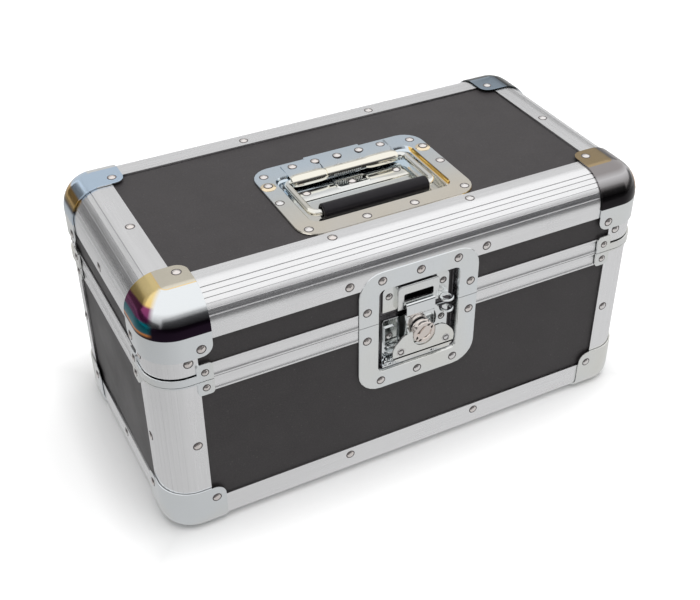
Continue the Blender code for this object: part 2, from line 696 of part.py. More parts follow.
def make_linings():
    """Foam linings of the base and the lid: open boxes against the panels' inner leaves."""
    x = HALF_X - LINING_U
    y = HALF_Y - LINING_U
    floor = BOTTOM + LINING_U
    roof = TOP - LINING_U
    base = block("base_lining", (-x, -y, floor), (x, y, SPLIT - HALF_SPLIT))
    cut(base, block("base_room", (-x + LINING, -y + LINING, floor + LINING), (x - LINING, y - LINING, TOP)))
    finish_piece(base, case_frame, FOAM)
    lid = block("lid_lining", (-x, -y, SPLIT + HALF_SPLIT), (x, y, roof))
    room = block("lid_room", (-x + LINING, -y + LINING, BOTTOM), (x - LINING, y - LINING, roof - LINING))
    window = prism("lining_window", [handle_recess(HANDLE_SHEET + 2 * GAP)], TOP - 4 * LINING_U, TOP, "z")
    cut(lid, room, window)
    finish_piece(lid, lid_frame, FOAM)


def mirror_patch(piece, x_sign, y_sign, z_sign):
    """Mirror an open sheet about its own origin and keep its faces pointing out."""
    mirror = Matrix.Diagonal((x_sign, y_sign, z_sign, 1))
    piece.data.transform(mirror)
    if x_sign * y_sign * z_sign < 0:
        piece.data.flip_normals()


def thicken(piece, sheet):
    """Give an open sheet its thickness, inwards from its outer face."""
    solid = piece.modifiers.new("sheet", "SOLIDIFY")
    solid.thickness = sheet
    solid.offset = -1
    solid.use_even_offset = True


def cap_patch(arm, rise, bottom_radius):
    """Open outer surface of a corner cap in the +X +Y +Z corner, its three outer planes at zero."""
    bm = bmesh.new()
    place = Matrix.Translation((-arm / 2, -arm / 2, -rise / 2)) @ Matrix.Diagonal((arm, arm, rise, 1))
    bmesh.ops.create_cube(bm, size=1, matrix=place)
    if bottom_radius is None:
        edges = [e for e in bm.edges if all(abs(v.co[a]) < NEAR for v in e.verts for a in (0, 1))
                 or all(abs(v.co[a]) < NEAR for v in e.verts for a in (1, 2))
                 or all(abs(v.co[a]) < NEAR for v in e.verts for a in (0, 2))]
        bmesh.ops.bevel(bm, geom=edges, offset=CAP_RADIUS, offset_type="OFFSET", segments=CORNER_STEPS,
                        profile=0.5, affect="EDGES", clamp_overlap=False, material=-1)
    else:
        upright = [e for e in bm.edges if all(abs(v.co[a]) < NEAR for v in e.verts for a in (0, 1))]
        bmesh.ops.bevel(bm, geom=upright, offset=CAP_RADIUS, offset_type="OFFSET", segments=CORNER_STEPS,
                        profile=0.5, affect="EDGES", clamp_overlap=False, material=-1)
        rim = [e for e in bm.edges if all(abs(v.co.z) < NEAR for v in e.verts)
               and not all(abs(v.co.x + arm) < NEAR for v in e.verts)
               and not all(abs(v.co.y + arm) < NEAR for v in e.verts)]
        bmesh.ops.bevel(bm, geom=rim, offset=bottom_radius, offset_type="OFFSET", segments=BOTTOM_STEPS,
                        profile=0.5, affect="EDGES", clamp_overlap=False, material=-1)
    inner = [f for f in bm.faces if min(f.normal) < -FACING]
    bmesh.ops.delete(bm, geom=inner, context="FACES")
    tabs = [v for v in bm.verts
            if (v.co.x < NEAR - arm) + (v.co.y < NEAR - arm) + (v.co.z < NEAR - rise) == 2]
    bmesh.ops.bevel(bm, geom=tabs, offset=CAP_TAB_RADIUS, offset_type="OFFSET", segments=TAB_STEPS,
                    profile=0.5, affect="VERTICES", clamp_overlap=False, material=-1)
    return bm


def make_caps(prefix, arm, rise, bottom_radius, rivet_inset, way, frame):
    """Four corner caps, each bent from one sheet; way points out of the case's end."""
    level = TOP if way > 0 else BOTTOM
    for corner, x_sign, y_sign, x_aim, y_aim in CORNERS:
        cap = mesh_object(prefix + "_" + corner, cap_patch(arm + CAP_PROUD, rise + CAP_PROUD, bottom_radius))
        mirror_patch(cap, x_sign, y_sign, way)
        x = x_sign * (HALF_X + CAP_PROUD)
        y = y_sign * (HALF_Y + CAP_PROUD)
        cap.location = (x, y, level + way * CAP_PROUD)
        thicken(cap, CAP_SHEET)
        rivet_x = x_sign * (HALF_X - CAP_RIVET)
        rivet_y = y_sign * (HALF_Y - CAP_RIVET)
        height = level - way * rivet_inset
        spots = [((rivet_x, y, height), y_aim), ((x, rivet_y, height), x_aim)]
        if way > 0:
            spots.append(((rivet_x, rivet_y, TOP + CAP_PROUD), "+z"))
        fasten(cap, spots)
        finish_piece(smooth(cap), frame, ZINC)


def bracket_patch(band, height, way):
    """Open outer surface of a rim bracket round the +X +Y corner: a low band with a tab at each end."""
    arm = BRACKET_ARM + BRACKET_PROUD
    path = [(-arm, 0.0), (BRACKET_TAB - arm, 0.0)]
    path += arc((-BRACKET_RADIUS, -BRACKET_RADIUS), BRACKET_RADIUS, RIGHT_ANGLE, 0, CORNER_STEPS)
    path += [(0.0, BRACKET_TAB - arm), (0.0, -arm)]
    bm = bmesh.new()
    rows = []
    for level in (0.0, band * way, height * way):
        rows.append([bm.verts.new((x, y, level)) for x, y in path])
    last = len(path) - 2
    for low, high in zip(rows, rows[1:]):
        for index in range(len(path) - 1):
            if low is rows[1] and index not in (0, last):
                continue
            quad = (low[index], high[index], high[index + 1], low[index + 1])
            bm.faces.new(quad if way > 0 else quad[::-1])
    bmesh.ops.delete(bm, geom=[v for v in bm.verts if not v.link_faces], context="VERTS")
    ends = [v for v in bm.verts if abs(v.co.z - height * way) < NEAR]
    bmesh.ops.bevel(bm, geom=ends, offset=BRACKET_TAB_RADIUS, offset_type="OFFSET",
                    segments=BRACKET_TAB_STEPS, profile=0.5, affect="VERTICES", clamp_overlap=False,
                    material=-1)
    return bm


def leaf_section(way, band, reach):
    """Hinge leaf in (y, z): over the rim band, down a step to the panel, with its stop lip."""
    near = band + GAP
    outer = LEAF_BACK + HINGE_SHEET
    section = [(LEAF_BACK, HINGE_CLEAR), (LEAF_BACK, near), (LEAF_BACK - RIM_PROUD, near + RIM_PROUD),
               (LEAF_BACK - RIM_PROUD, HINGE_LEAF), (outer - RIM_PROUD, HINGE_LEAF),
               (outer - RIM_PROUD, near + RIM_PROUD), (outer, near), (outer, STOP_RISE + STOP_LIP),
               (HINGE_Y + reach, STOP_RISE + STOP_LIP), (HINGE_Y + reach, STOP_RISE),
               (outer, STOP_RISE), (outer, HINGE_CLEAR)]
    return [(y, SPLIT + way * h) for y, h in section]


def make_leaf(name, centre, way, band, reach, knuckles):
    """One hinge leaf with its knuckles, necks and rivets."""
    half = HINGE_LENGTH / 2
    outer = LEAF_BACK + HINGE_SHEET
    leaf = prism(name, [leaf_section(way, band, reach)], centre - half, centre + half, "x")
    for low, high in knuckles:
        ring = circle(HINGE_Y, SPLIT, KNUCKLE_RADIUS, KNUCKLE_SIDES)
        neck = rectangle(LEAF_BACK, outer, *sorted((SPLIT, SPLIT + way * (HINGE_CLEAR + WELD))))
        join(leaf, prism("knuckle", [ring], centre + low, centre + high, "x"),
             prism("neck", [neck], centre + low, centre + high, "x"))
    steps = (-1, 0, 1)
    fasten(leaf, [((centre + step * HINGE_RIVET_X, outer, SPLIT + way * HINGE_RIVET_NEAR), "+y")
                  for step in steps], SMALL_RIVET_RADIUS)
    fasten(leaf, [((centre + step * HINGE_RIVET_X, outer - RIM_PROUD, SPLIT + way * HINGE_RIVET_FAR), "+y")
                  for step in steps], SMALL_RIVET_RADIUS)
    return leaf


def make_hinges():
    """Two stop hinges: base leaf with the outer knuckles and the riveted pin, lid leaf between."""
    half = HINGE_LENGTH / 2
    outer = ((-half, -half + KNUCKLE_LENGTH), (half - KNUCKLE_LENGTH, half))
    middle = ((-half + KNUCKLE_LENGTH + KNUCKLE_GAP, half - KNUCKLE_LENGTH - KNUCKLE_GAP),)
    for end, sign, _ in ENDS:
        centre = sign * HINGE_X
        start = (centre - half + WELD, HINGE_Y, SPLIT)
        length = HINGE_LENGTH - 2 * WELD
        base = make_leaf("hinge_base_leaf_" + end, centre, -1, BASE_BAND, STOP_SHELF, outer)
        join(base, rod("hinge_pin", start, "+x", PIN_RADIUS, length))
        finish_piece(base, case_frame, STEEL)
        lid = make_leaf("hinge_lid_leaf_" + end, centre, 1, LID_BAND, STOP_REACH, middle)
        cut(lid, rod("hinge_bore", start, "+x", PIN_RADIUS + GAP, length))
        finish_piece(lid, lid_frame, STEEL)


def handle_recess(grow):
    """Outline of the handle's recess, grown by a wall or a clearance."""
    x = HANDLE_HALF - HANDLE_SIDE_BORDER + grow
    return rectangle(HANDLE_X - x, HANDLE_X + x, RECESS_FRONT - grow, RECESS_BACK + grow,
                     HANDLE_RECESS_CORNER + grow)


def make_handle_dish():
    """Pressed dish of the handle with the hood, the floor strap and the rivets fixed to it."""
    outline = rectangle(HANDLE_X - HANDLE_HALF, HANDLE_X + HANDLE_HALF, HANDLE_FRONT, HANDLE_BACK,
                        HANDLE_CORNER, FLANGE_STEPS)
    face = TOP + GAP + HANDLE_SHEET
    floor = TOP - HANDLE_RECESS
    dish = prism("handle_dish", [outline], TOP + GAP, face, "z")
    tub = prism("handle_tub", [handle_recess(HANDLE_SHEET)], floor - HANDLE_SHEET, face - HANDLE_SHEET / 2,
                "z")
    room = prism("handle_room", [handle_recess(0)], floor, face + GAP, "z")
    strap = block("floor_strap", (HANDLE_X - FLOOR_PLATE_HALF, PIVOT_Y - FLOOR_PLATE_FRONT, floor - WELD),
                  (HANDLE_X + FLOOR_PLATE_HALF, PIVOT_Y - FLOOR_PLATE_BACK, floor + HANDLE_SHEET))
    join(dish, tub)
    cut(dish, room)
    join(dish, strap, handle_hood())
    fasten_handle(dish, face, floor + HANDLE_SHEET)
    finish_piece(smooth(dish), lid_frame, ZINC)


def handle_hood():
    """Hood over the bail's pivot rod: a strip on the flange, rolled forward over the rod."""
    inner = BAIL_ROD + 2 * HOOD_ROOM + 2 * SPRING_WIRE
    outer = inner + HOOD_SHEET
    low = GAP + HANDLE_SHEET - WELD + BAIL_PIVOT_DROP
    high = low + HOOD_SHEET
    roll = arc((0, 0), outer, math.asin(high / outer), HOOD_END_ANGLE, HOOD_STEPS)
    lining = arc((0, 0), inner, HOOD_END_ANGLE, math.asin(low / inner), HOOD_STEPS)
    section = [(HOOD_BACK, high)] + roll + lining + [(HOOD_BACK, low)]
    loop = [(PIVOT_Y + y, PIVOT_Z + z) for y, z in section]
    hood = prism("handle_hood", [loop], HANDLE_X - HOOD_HALF, HANDLE_X + HOOD_HALF, "x")
    window = block("hood_window", (HANDLE_X - HOOD_WINDOW, PIVOT_Y - 2 * outer, PIVOT_Z - 2 * outer),
                   (HANDLE_X + HOOD_WINDOW, PIVOT_Y - HOOD_BROW, PIVOT_Z + 2 * outer))
    return cut(hood, window)


def fasten_handle(dish, face, strap):
    """Rivets and domed washers of the handle: on the hood, the flange and the floor strap."""
    hood = face - WELD + HOOD_SHEET
    row = [(HANDLE_X + step * HOOD_RIVET_PITCH, HANDLE_BACK - BACK_RIVET_INSET, hood)
           for step in (-2, -1, 0, 1, 2)]
    fasten(dish, [(spot, "+z") for spot in row], SMALL_RIVET_RADIUS)
    floor_y = PIVOT_Y - FLOOR_RIVET_Y
    front_y = HANDLE_FRONT + FRONT_RIVET_INSET
    spots = [(0, floor_y, strap)]
    washers = []
    for sign in (-1, 1):
        corner_x = sign * (HANDLE_HALF - CORNER_RIVET_INSET)
        side_x = sign * (HANDLE_HALF - SIDE_RIVET_INSET)
        spots.append((sign * FLOOR_RIVET_X, floor_y, strap))
        spots.append((corner_x, HANDLE_BACK - BACK_CORNER_RIVET_INSET, face))
        spots.append((corner_x, front_y, face))
        spots.append((sign * HOOD_RIVET_PITCH, front_y, face))
        spots.append((side_x, (HANDLE_FRONT + HANDLE_BACK) / 2, face))
        washers.append(((HANDLE_X + side_x, HANDLE_BACK - WASHER_INSET, face), "+z"))
    fasten(dish, [((HANDLE_X + x, y, z), "+z") for x, y, z in spots])
    fasten(dish, washers, WASHER_RADIUS)


def bail_path():
    """Right half of the bail in (x, y) about its pivot: rod end, back bend, arm, front bend."""
    path = [(BAIL_END_X, 0.0)]
    path += arc((BAIL_ARM_X - BAIL_BACK_BEND, -BAIL_BACK_BEND), BAIL_BACK_BEND, RIGHT_ANGLE, 0,
                BAIL_BEND_STEPS)
    path += arc((BAIL_ARM_X - BAIL_FRONT_BEND, -BAIL_REACH + BAIL_FRONT_BEND), BAIL_FRONT_BEND, 0,
                -RIGHT_ANGLE, BAIL_BEND_STEPS)
    return path


def make_bail():
    """Sprung bail: one bent rod whose ends lie under the hood."""
    right = bail_path()
    points = right + [(-x, y) for x, y in reversed(right)]
    piece = tube("handle_bail", [(x, y, 0) for x, y in points], BAIL_ROD, BAIL_RESOLUTION, BAIL_POINT)
    finish_piece(piece, bail_frame, ZINC)


def tube(name, points, radius, resolution, location):
    """A round rod or wire along points about a location, with closed ends."""
    line = bpy.data.curves.new(name, "CURVE")
    line.dimensions = "3D"
    line.bevel_depth = radius
    line.bevel_resolution = resolution
    line.use_fill_caps = True
    spline = line.splines.new("POLY")
    spline.points.add(len(points) - 1)
    for point, place in zip(spline.points, points):
        point.co = (*place, 1)
    piece = bpy.data.objects.new(name, line)
    PARTS.objects.link(piece)
    piece.location = location
    return piece


def make_spring():
    """Return spring wound round the ends of the bail's rod."""
    radius = BAIL_ROD + HOOD_ROOM + SPRING_WIRE
    count = SPRING_TURNS * SPRING_POINTS
    points = []
    for index in range(count + 1):
        share = index / count
        turn = 2 * math.pi * SPRING_TURNS * share
        points.append((SPRING_LENGTH * (share - 0.5), radius * math.cos(turn), radius * math.sin(turn)))
    spring = tube("handle_spring", points, SPRING_WIRE, WIRE_RESOLUTION, BAIL_POINT)
    finish_piece(spring, lid_frame, STEEL)


def turned(name, profile, sides, aim, location):
    """A turned piece: a profile in (radius, height) swept round, closed if it has a bore."""
    bm = bmesh.new()
    verts = [bm.verts.new((radius, 0, height)) for radius, height in profile]
    for first, second in zip(verts, verts[1:]):
        bm.edges.new((first, second))
    if profile[0][0] > 0:
        bm.edges.new((verts[-1], verts[0]))
    piece = mesh_object(name, bm)
    screw = piece.modifiers.new("turn", "SCREW")
    screw.steps = sides
    screw.render_steps = sides
    screw.use_merge_vertices = True
    screw.merge_threshold = NEAR
    screw.use_smooth_shade = True
    screw.use_normal_calculate = True
    piece.matrix_world = Matrix.Translation(location) @ AIM[aim]
    return piece


def make_grip():
    """Rubber grip: a tube over the bail's front rod."""
    half = GRIP_HALF
    bore = BAIL_ROD + 2 * GAP
    edge = GRIP_RADIUS - GRIP_CHAMFER
    profile = [(bore, half), (edge, half), (GRIP_RADIUS, half - GRIP_CHAMFER),
               (GRIP_RADIUS, GRIP_CHAMFER - half), (edge, -half), (bore, -half)]
    grip = turned("handle_grip", profile, FINE_ROD_SIDES, "+x", (HANDLE_X, PIVOT_Y - BAIL_REACH, PIVOT_Z))
    finish_piece(grip, bail_frame, RUBBER)


def front(proud):
    """A y coordinate a distance out of the front plane."""
    return -HALF_Y - proud


def latch_outline(grow):
    """Outline of the whole latch flange in (x, z), grown by a clearance."""
    half = LATCH_WIDTH / 2 + grow
    return rectangle(LATCH_X - half, LATCH_X + half, SPLIT - LATCH_BELOW - grow, SPLIT + LATCH_ABOVE + grow,
                     LATCH_CORNER + grow, FLANGE_STEPS)


def half_outline(half, near, far, radius, steps):
    """Outline in (x, z) of one half of the latch: square at the split, rounded at its far end."""
    return rounded([(LATCH_X - half, near, 0), (LATCH_X - half, far, radius),
                    (LATCH_X + half, far, radius), (LATCH_X + half, near, 0)], steps)


def make_latch_dish(name, reach, way, frame):
    """One half of the latch dish, from the split to its far end."""
    near = SPLIT + way * HALF_SPLIT
    far = SPLIT + way * reach
    end = far - way * LATCH_BORDER
    wall = LATCH_SHEET
    dish = prism(name, [half_outline(LATCH_WIDTH / 2, near, far, LATCH_CORNER, FLANGE_STEPS)],
                 HALF_Y + GAP, HALF_Y + LATCH_FACE, "y")
    tub = half_outline(RECESS_HALF + wall, near, end + way * wall, LATCH_RECESS_CORNER + wall, TUB_STEPS)
    room = half_outline(RECESS_HALF, near - way * wall, end, LATCH_RECESS_CORNER, TUB_STEPS)
    join(dish, prism(name + "_tub", [tub], HALF_Y - LATCH_RECESS - wall, HALF_Y + LATCH_FACE - WELD, "y"))
    cut(dish, prism(name + "_room", [room], HALF_Y - LATCH_RECESS, HALF_Y + LATCH_FACE + wall, "y"))
    row = [(LATCH_X + step * LATCH_RIVET_X, front(LATCH_FACE), far - way * LATCH_RIVET_INSET)
           for step in (-1, 0, 1)]
    row += [(LATCH_X + step * LATCH_SIDE_RIVET_X, front(LATCH_FACE), SPLIT + way * LATCH_SIDE_RIVET_H)
            for step in (-1, 1)]
    fasten(dish, [(spot, "-y") for spot in row])
    finish_piece(dish, frame, ZINC)


def fasten_tabs(piece, level):
    """Two small rivets at the sides of the keeper or the mount."""
    tab = (KEEPER_HALF + KEEPER_TAB + LATCH_SHEET) / 2
    fasten(piece, [((LATCH_X + sign * tab, front(MOUNT_FACE), level), "-y") for sign in (-1, 1)],
           SMALL_RIVET_RADIUS)


def eye(name, level, root_y):
    """A padlock eye: a level tab with a round end, and the hole through it."""
    y = front(EYE_PROUD)
    tab = rounded([(LATCH_X + EYE_X - EYE_RADIUS, root_y, 0),
                   (LATCH_X + EYE_X - EYE_RADIUS, y - EYE_RADIUS, EYE_RADIUS * ROUND_END),
                   (LATCH_X + EYE_X + EYE_RADIUS, y - EYE_RADIUS, EYE_RADIUS * ROUND_END),
                   (LATCH_X + EYE_X + EYE_RADIUS, root_y, 0)], FLANGE_STEPS)
    plate = prism(name, [tab], level - EYE_SHEET / 2, level + EYE_SHEET / 2, "z")
    hole = rod(name + "_hole", (LATCH_X + EYE_X, y, level - EYE_SHEET), "+z", EYE_HOLE, 2 * EYE_SHEET,
               HOLE_SIDES)
    return plate, hole


def make_keeper():
    """Keeper on the lid: a raised plate with a slot for the hook, side tabs and a padlock eye."""
    sheet = LATCH_SHEET
    hat = [(-KEEPER_TAB, MOUNT_BACK), (-KEEPER_HALF, MOUNT_BACK), (-KEEPER_HALF, KEEPER_FACE - sheet),
           (KEEPER_HALF, KEEPER_FACE - sheet), (KEEPER_HALF, MOUNT_BACK), (KEEPER_TAB, MOUNT_BACK),
           (KEEPER_TAB, MOUNT_FACE), (KEEPER_HALF + sheet, MOUNT_FACE), (KEEPER_HALF + sheet, KEEPER_FACE),
           (-KEEPER_HALF - sheet, KEEPER_FACE), (-KEEPER_HALF - sheet, MOUNT_FACE),
           (-KEEPER_TAB, MOUNT_FACE)]
    loop = [(LATCH_X + x, front(proud)) for x, proud in hat]
    keeper = prism("latch_keeper", [loop], SPLIT + KEEPER_BOTTOM, SPLIT + KEEPER_TOP, "z")
    slot = block("keeper_slot", (LATCH_X - SLOT_HALF, front(KEEPER_FACE + sheet), SPLIT + SLOT_LOW),
                 (LATCH_X + SLOT_HALF, front(KEEPER_FACE - 2 * sheet), SPLIT + SLOT_HIGH))
    level = SPLIT + KEEPER_BOTTOM + EYE_SHEET / 2 + GAP
    plate, hole = eye("keeper_eye", level, front(MOUNT_BACK + sheet / 2))
    join(keeper, plate)
    cut(keeper, slot, hole)
    fasten_tabs(keeper, SPLIT + KEEPER_RIVET_H)
    finish_piece(keeper, lid_frame, ZINC)


def make_mount():
    """Mount on the base: a plate on the dish floor, two ears with the pivot pin and a padlock eye."""
    low = SPLIT - LATCH_BELOW + LATCH_BORDER + GAP
    mount = block("latch_mount", (LATCH_X - MOUNT_HALF, front(MOUNT_FACE), low),
                  (LATCH_X + MOUNT_HALF, front(MOUNT_BACK), SPLIT - KEEPER_BOTTOM))
    ears = []
    for sign in (-1, 1):
        inside = LATCH_X + sign * EAR_X
        outside = inside + sign * CARRIER_SHEET
        ears.append(block("ear", (min(inside, outside), front(EAR_PROUD), LATCH_PIVOT_Z - EAR_HEIGHT / 2),
                          (max(inside, outside), front(MOUNT_BACK + GAP), LATCH_PIVOT_Z + EAR_HEIGHT / 2)))
    level = SPLIT - KEEPER_BOTTOM - EYE_SHEET / 2 - GAP
    plate, hole = eye("mount_eye", level, front(MOUNT_BACK + LATCH_SHEET / 2))
    join(mount, *ears, plate)
    reach = EAR_X + 2 * CARRIER_SHEET
    join(mount, rod("pivot_pin", (LATCH_X - reach, front(0), LATCH_PIVOT_Z), "+x", PIVOT_PIN, 2 * reach))
    cut(mount, hole)
    fasten_tabs(mount, SPLIT - MOUNT_RIVET_DROP)
    finish_piece(mount, case_frame, ZINC)


def make_carrier():
    """Carrier that tilts on the pivot pin and holds the draw plate and the knob."""
    face = front(SLEEVE_RADIUS - GAP)
    carrier = block("latch_carrier", (LATCH_X - CARRIER_HALF, face, LATCH_PIVOT_Z),
                    (LATCH_X + CARRIER_HALF, face + CARRIER_SHEET, SPLIT - CARRIER_TOP))
    sleeve = rod("sleeve", (LATCH_X - CARRIER_HALF, front(0), LATCH_PIVOT_Z), "+x", SLEEVE_RADIUS,
                 2 * CARRIER_HALF, FINE_ROD_SIDES)
    join(carrier, sleeve)
    bore = rod("sleeve_bore", (LATCH_X - 2 * CARRIER_HALF, front(0), LATCH_PIVOT_Z), "+x",
               PIVOT_PIN + GAP, 4 * CARRIER_HALF)
    seat = rod("knob_seat", (LATCH_X, front(0), KNOB_Z), "-y", KNOB_SHAFT + GAP, 2 * DRAW_FACE,
               FINE_ROD_SIDES)
    cut(carrier, bore, seat)
    finish_piece(carrier, carrier_frame, STEEL)


def make_draw_plate():
    """Draw plate: a shallow channel round the carrier with a rolled hook at its top."""
    inside = CARRIER_HALF + GAP
    outside = inside + DRAW_SHEET
    lip = SLEEVE_RADIUS - CARRIER_SHEET
    channel = [(-outside, lip), (-outside, DRAW_FACE), (outside, DRAW_FACE), (outside, lip),
               (inside, lip), (inside, DRAW_BACK), (-inside, DRAW_BACK), (-inside, lip)]
    loop = [(LATCH_X + x, front(proud)) for x, proud in channel]
    plate = prism("latch_draw_plate", [loop], SPLIT - DRAW_BOTTOM, SPLIT + HOOK_H, "z")
    hook_y = front(KEEPER_FACE + HOOK_GAP + HOOK_RADIUS)
    hook = rod("hook", (LATCH_X - outside, hook_y, SPLIT + HOOK_H), "+x", HOOK_RADIUS, 2 * outside,
               WIRE_SIDES)
    join(plate, hook)
    room = KNOB_SHAFT + GAP
    slot = prism("draw_slot", [rectangle(LATCH_X - room, LATCH_X + room, KNOB_Z - room - DRAW_TRAVEL,
                                         KNOB_Z + room, room * ROUND_END, TUB_STEPS)],
                 HALF_Y, HALF_Y + 2 * DRAW_FACE, "y")
    cut(plate, slot)
    finish_piece(plate, draw_frame, ZINC)


def make_knob():
    """Twist knob: a round head, its shaft through the draw plate, and a cross bore for the wing."""
    head = KNOB_PROUD - DRAW_FACE
    shaft = DRAW_FACE - SLEEVE_RADIUS + GAP + CARRIER_SHEET
    profile = [(0, head), (KNOB_RADIUS - KNOB_CHAMFER, head), (KNOB_RADIUS, head - KNOB_CHAMFER),
               (KNOB_RADIUS, GAP), (KNOB_SHAFT, GAP), (KNOB_SHAFT, -shaft), (0, -shaft)]
    knob = turned("latch_knob", profile, KNOB_SIDES, "-y", KNOB_POINT)
    bore = rod("wing_bore", (LATCH_X - 2 * KNOB_RADIUS, front(WING_AXIS_PROUD), KNOB_Z), "+x",
               WING_PIN + GAP, 4 * KNOB_RADIUS, WIRE_SIDES)
    cut(knob, bore)
    finish_piece(knob, knob_frame, ZINC)


def wing_outline():
    """Butterfly wing folded down: two lobes either side of a notch round the knob."""
    notch = arc((0, -WING_NOTCH_DROP), WING_NOTCH, 0, -math.pi, NOTCH_STEPS)
    left = rounded([(-WING_NOTCH, WING_MARGIN, 0), (-WING_SHOULDER_X, WING_MARGIN, WING_SHOULDER_ROUND),
                    (-WING_HALF, -WING_TIP_DROP, WING_TIP_ROUND),
                    (-WING_LOBE_X, -WING_LOBE_DROP, WING_LOBE_ROUND),
                    (-WING_WAIST_X, -WING_WAIST_DROP, WING_WAIST_ROUND), (0, -WING_WAIST_DROP, 0)])
    right = [(-x, z) for x, z in reversed(left)]
    return [(LATCH_X + x, KNOB_Z + z) for x, z in left + right[1:] + notch]


def make_wing():
    """Folding butterfly wing on its pin through the knob."""
    wing = prism("latch_wing", [wing_outline()], HALF_Y + WING_BACK, HALF_Y + WING_BACK + WING_SHEET, "y")
    pin = rod("wing_pin", (LATCH_X - WING_PIN_HALF, front(WING_AXIS_PROUD), KNOB_Z), "+x", WING_PIN,
              2 * WING_PIN_HALF, WIRE_SIDES)
    join(wing, pin)
    finish_piece(wing, wing_frame, ZINC)


def build_case():
    """Make the box, its lid and their trim."""
    make_panels()
    make_edges("bottom_edge", BOTTOM_SECTION, BOTTOM_ARM, BOTTOM, 1, BOTTOM_RIVET_U, case_frame)
    make_edges("lid_edge", TOP_SECTION, TOP_ARM, TOP, -1, EDGE_RIVET_U, lid_frame)
    make_posts("base_post", BOTTOM + BOTTOM_ARM + GAP, SPLIT - BASE_POST_DROP, SPLIT - BASE_POST_RIVET_DROP,
               BASE_BRACKET_BAND, BASE_BRACKET_HEIGHT, -1, case_frame)
    make_posts("lid_post", SPLIT + LID_POST_LIFT, TOP - TOP_ARM - GAP, SPLIT + POST_RIVET_H,
               BRACKET_BAND, LID_BRACKET_HEIGHT, 1, lid_frame)
    make_rims("base_rim", base_rim_section(), case_frame)
    make_rims("lid_rim", lid_rim_section(), lid_frame)
    make_caps("top_cap", TOP_CAP_ARM, TOP_CAP_DROP, None, TOP_CAP_RIVET_DROP, 1, lid_frame)
    make_caps("bottom_cap", BOTTOM_CAP_ARM, BOTTOM_CAP_RISE, BOTTOM_RADIUS + GAP + CAP_SHEET,
              BOTTOM_CAP_RIVET_RISE, -1, case_frame)
    make_linings()
    make_hinges()


def build_handle():
    """Make the recessed handle."""
    make_handle_dish()
    make_bail()
    make_grip()
    make_spring()


def build_latch():
    """Make the twist latch."""
    make_latch_dish("latch_lid_dish", LATCH_ABOVE, 1, lid_frame)
    make_latch_dish("latch_base_dish", LATCH_BELOW, -1, case_frame)
    make_keeper()
    make_mount()
    make_carrier()
    make_draw_plate()
    make_knob()
    make_wing()


build_case()
build_handle()
build_latch()
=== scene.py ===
"""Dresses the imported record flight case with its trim, fittings and finishes.

Every length is in metres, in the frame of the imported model: X runs along the case, the front with
the latch faces -Y, and the case stands on z = 0. "Plane" means the outer face of a laminated panel,
and "proud" counts out of a plane.
"""
import math

import bmesh
import bpy
from bpy.props import FloatProperty, FloatVectorProperty, PointerProperty
from mathutils import Matrix, Vector


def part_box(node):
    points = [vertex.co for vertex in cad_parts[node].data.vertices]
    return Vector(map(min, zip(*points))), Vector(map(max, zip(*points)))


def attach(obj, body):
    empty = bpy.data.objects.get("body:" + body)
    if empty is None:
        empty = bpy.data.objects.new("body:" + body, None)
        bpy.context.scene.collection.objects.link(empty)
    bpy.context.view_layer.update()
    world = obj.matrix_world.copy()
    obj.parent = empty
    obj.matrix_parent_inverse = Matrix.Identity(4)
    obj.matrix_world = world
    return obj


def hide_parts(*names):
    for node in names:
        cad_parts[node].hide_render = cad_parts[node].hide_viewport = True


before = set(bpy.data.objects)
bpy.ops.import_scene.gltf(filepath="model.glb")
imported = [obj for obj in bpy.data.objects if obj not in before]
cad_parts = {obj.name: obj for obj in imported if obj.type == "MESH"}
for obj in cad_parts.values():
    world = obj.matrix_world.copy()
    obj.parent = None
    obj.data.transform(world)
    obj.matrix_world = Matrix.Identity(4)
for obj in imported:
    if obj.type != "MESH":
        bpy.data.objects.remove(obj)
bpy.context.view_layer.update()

bl_info = {
    "name": "Record Flight Case",
    "version": (1, 0, 0),
    "blender": (4, 5, 0),
    "location": "View3D > Sidebar > Flight Case",
    "description": "Dresses a small record flight case with ribbed trim, caps, handle and latch",
    "category": "Object",
}

MM = 0.001
UP = (0, 0, 1)
OUT = (0, -1, 0)  # out of the front

# Planes of the case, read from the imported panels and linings
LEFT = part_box("base_left_panel")[0].x
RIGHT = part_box("base_right_panel")[1].x
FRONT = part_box("base_front_panel")[0].y
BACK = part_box("base_back_panel")[1].y
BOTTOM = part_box("bottom_panel")[0].z
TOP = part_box("lid_top_panel")[1].z
SPLIT = (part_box("base_lining")[1].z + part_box("lid_lining")[0].z) / 2
MIDDLE_Y = (FRONT + BACK) / 2

# Trim sizes, the same as in the part
GAP = 0.3 * MM
SHEET = 1.5 * MM
PROUD = GAP + SHEET
HALF_SPLIT = 0.2 * MM
TOP_ARM = 32.5 * MM
POST_ARM = 32.0 * MM
POST_FLUTE = 0.35  # depth of the posts' grooves, as a share of the edges'
FLUTE_STEPS = (-2.5, -1.5, -0.5, 0.5, 1.5, 2.5)
TURN_STEPS = 18
BOTTOM_TURN_STEPS = 8
BOTTOM_ARM = 24.5 * MM
RIM_PROUD = 1.4 * MM
LID_BAND = 13.0 * MM
BASE_BAND = 12.0 * MM
CAP_SHEET = 1.2 * MM
CAP_PROUD = PROUD + GAP + CAP_SHEET
TOP_CAP_ARM = 43.8 * MM
TOP_CAP_DROP = 45.0 * MM
BOTTOM_CAP_ARM = 43.0 * MM
BOTTOM_CAP_RISE = 36.5 * MM
CAP_TAB_RADIUS = 9.0 * MM
CAP_STEPS = 12
CAP_ROUND = 0.3 * MM
BRACKET_SHEET = 1.6 * MM
BRACKET_PROUD = RIM_PROUD + GAP + BRACKET_SHEET
BRACKET_ARM = 42.3 * MM
BRACKET_TAB = 12.8 * MM
BRACKET_TAB_RADIUS = 3.0 * MM
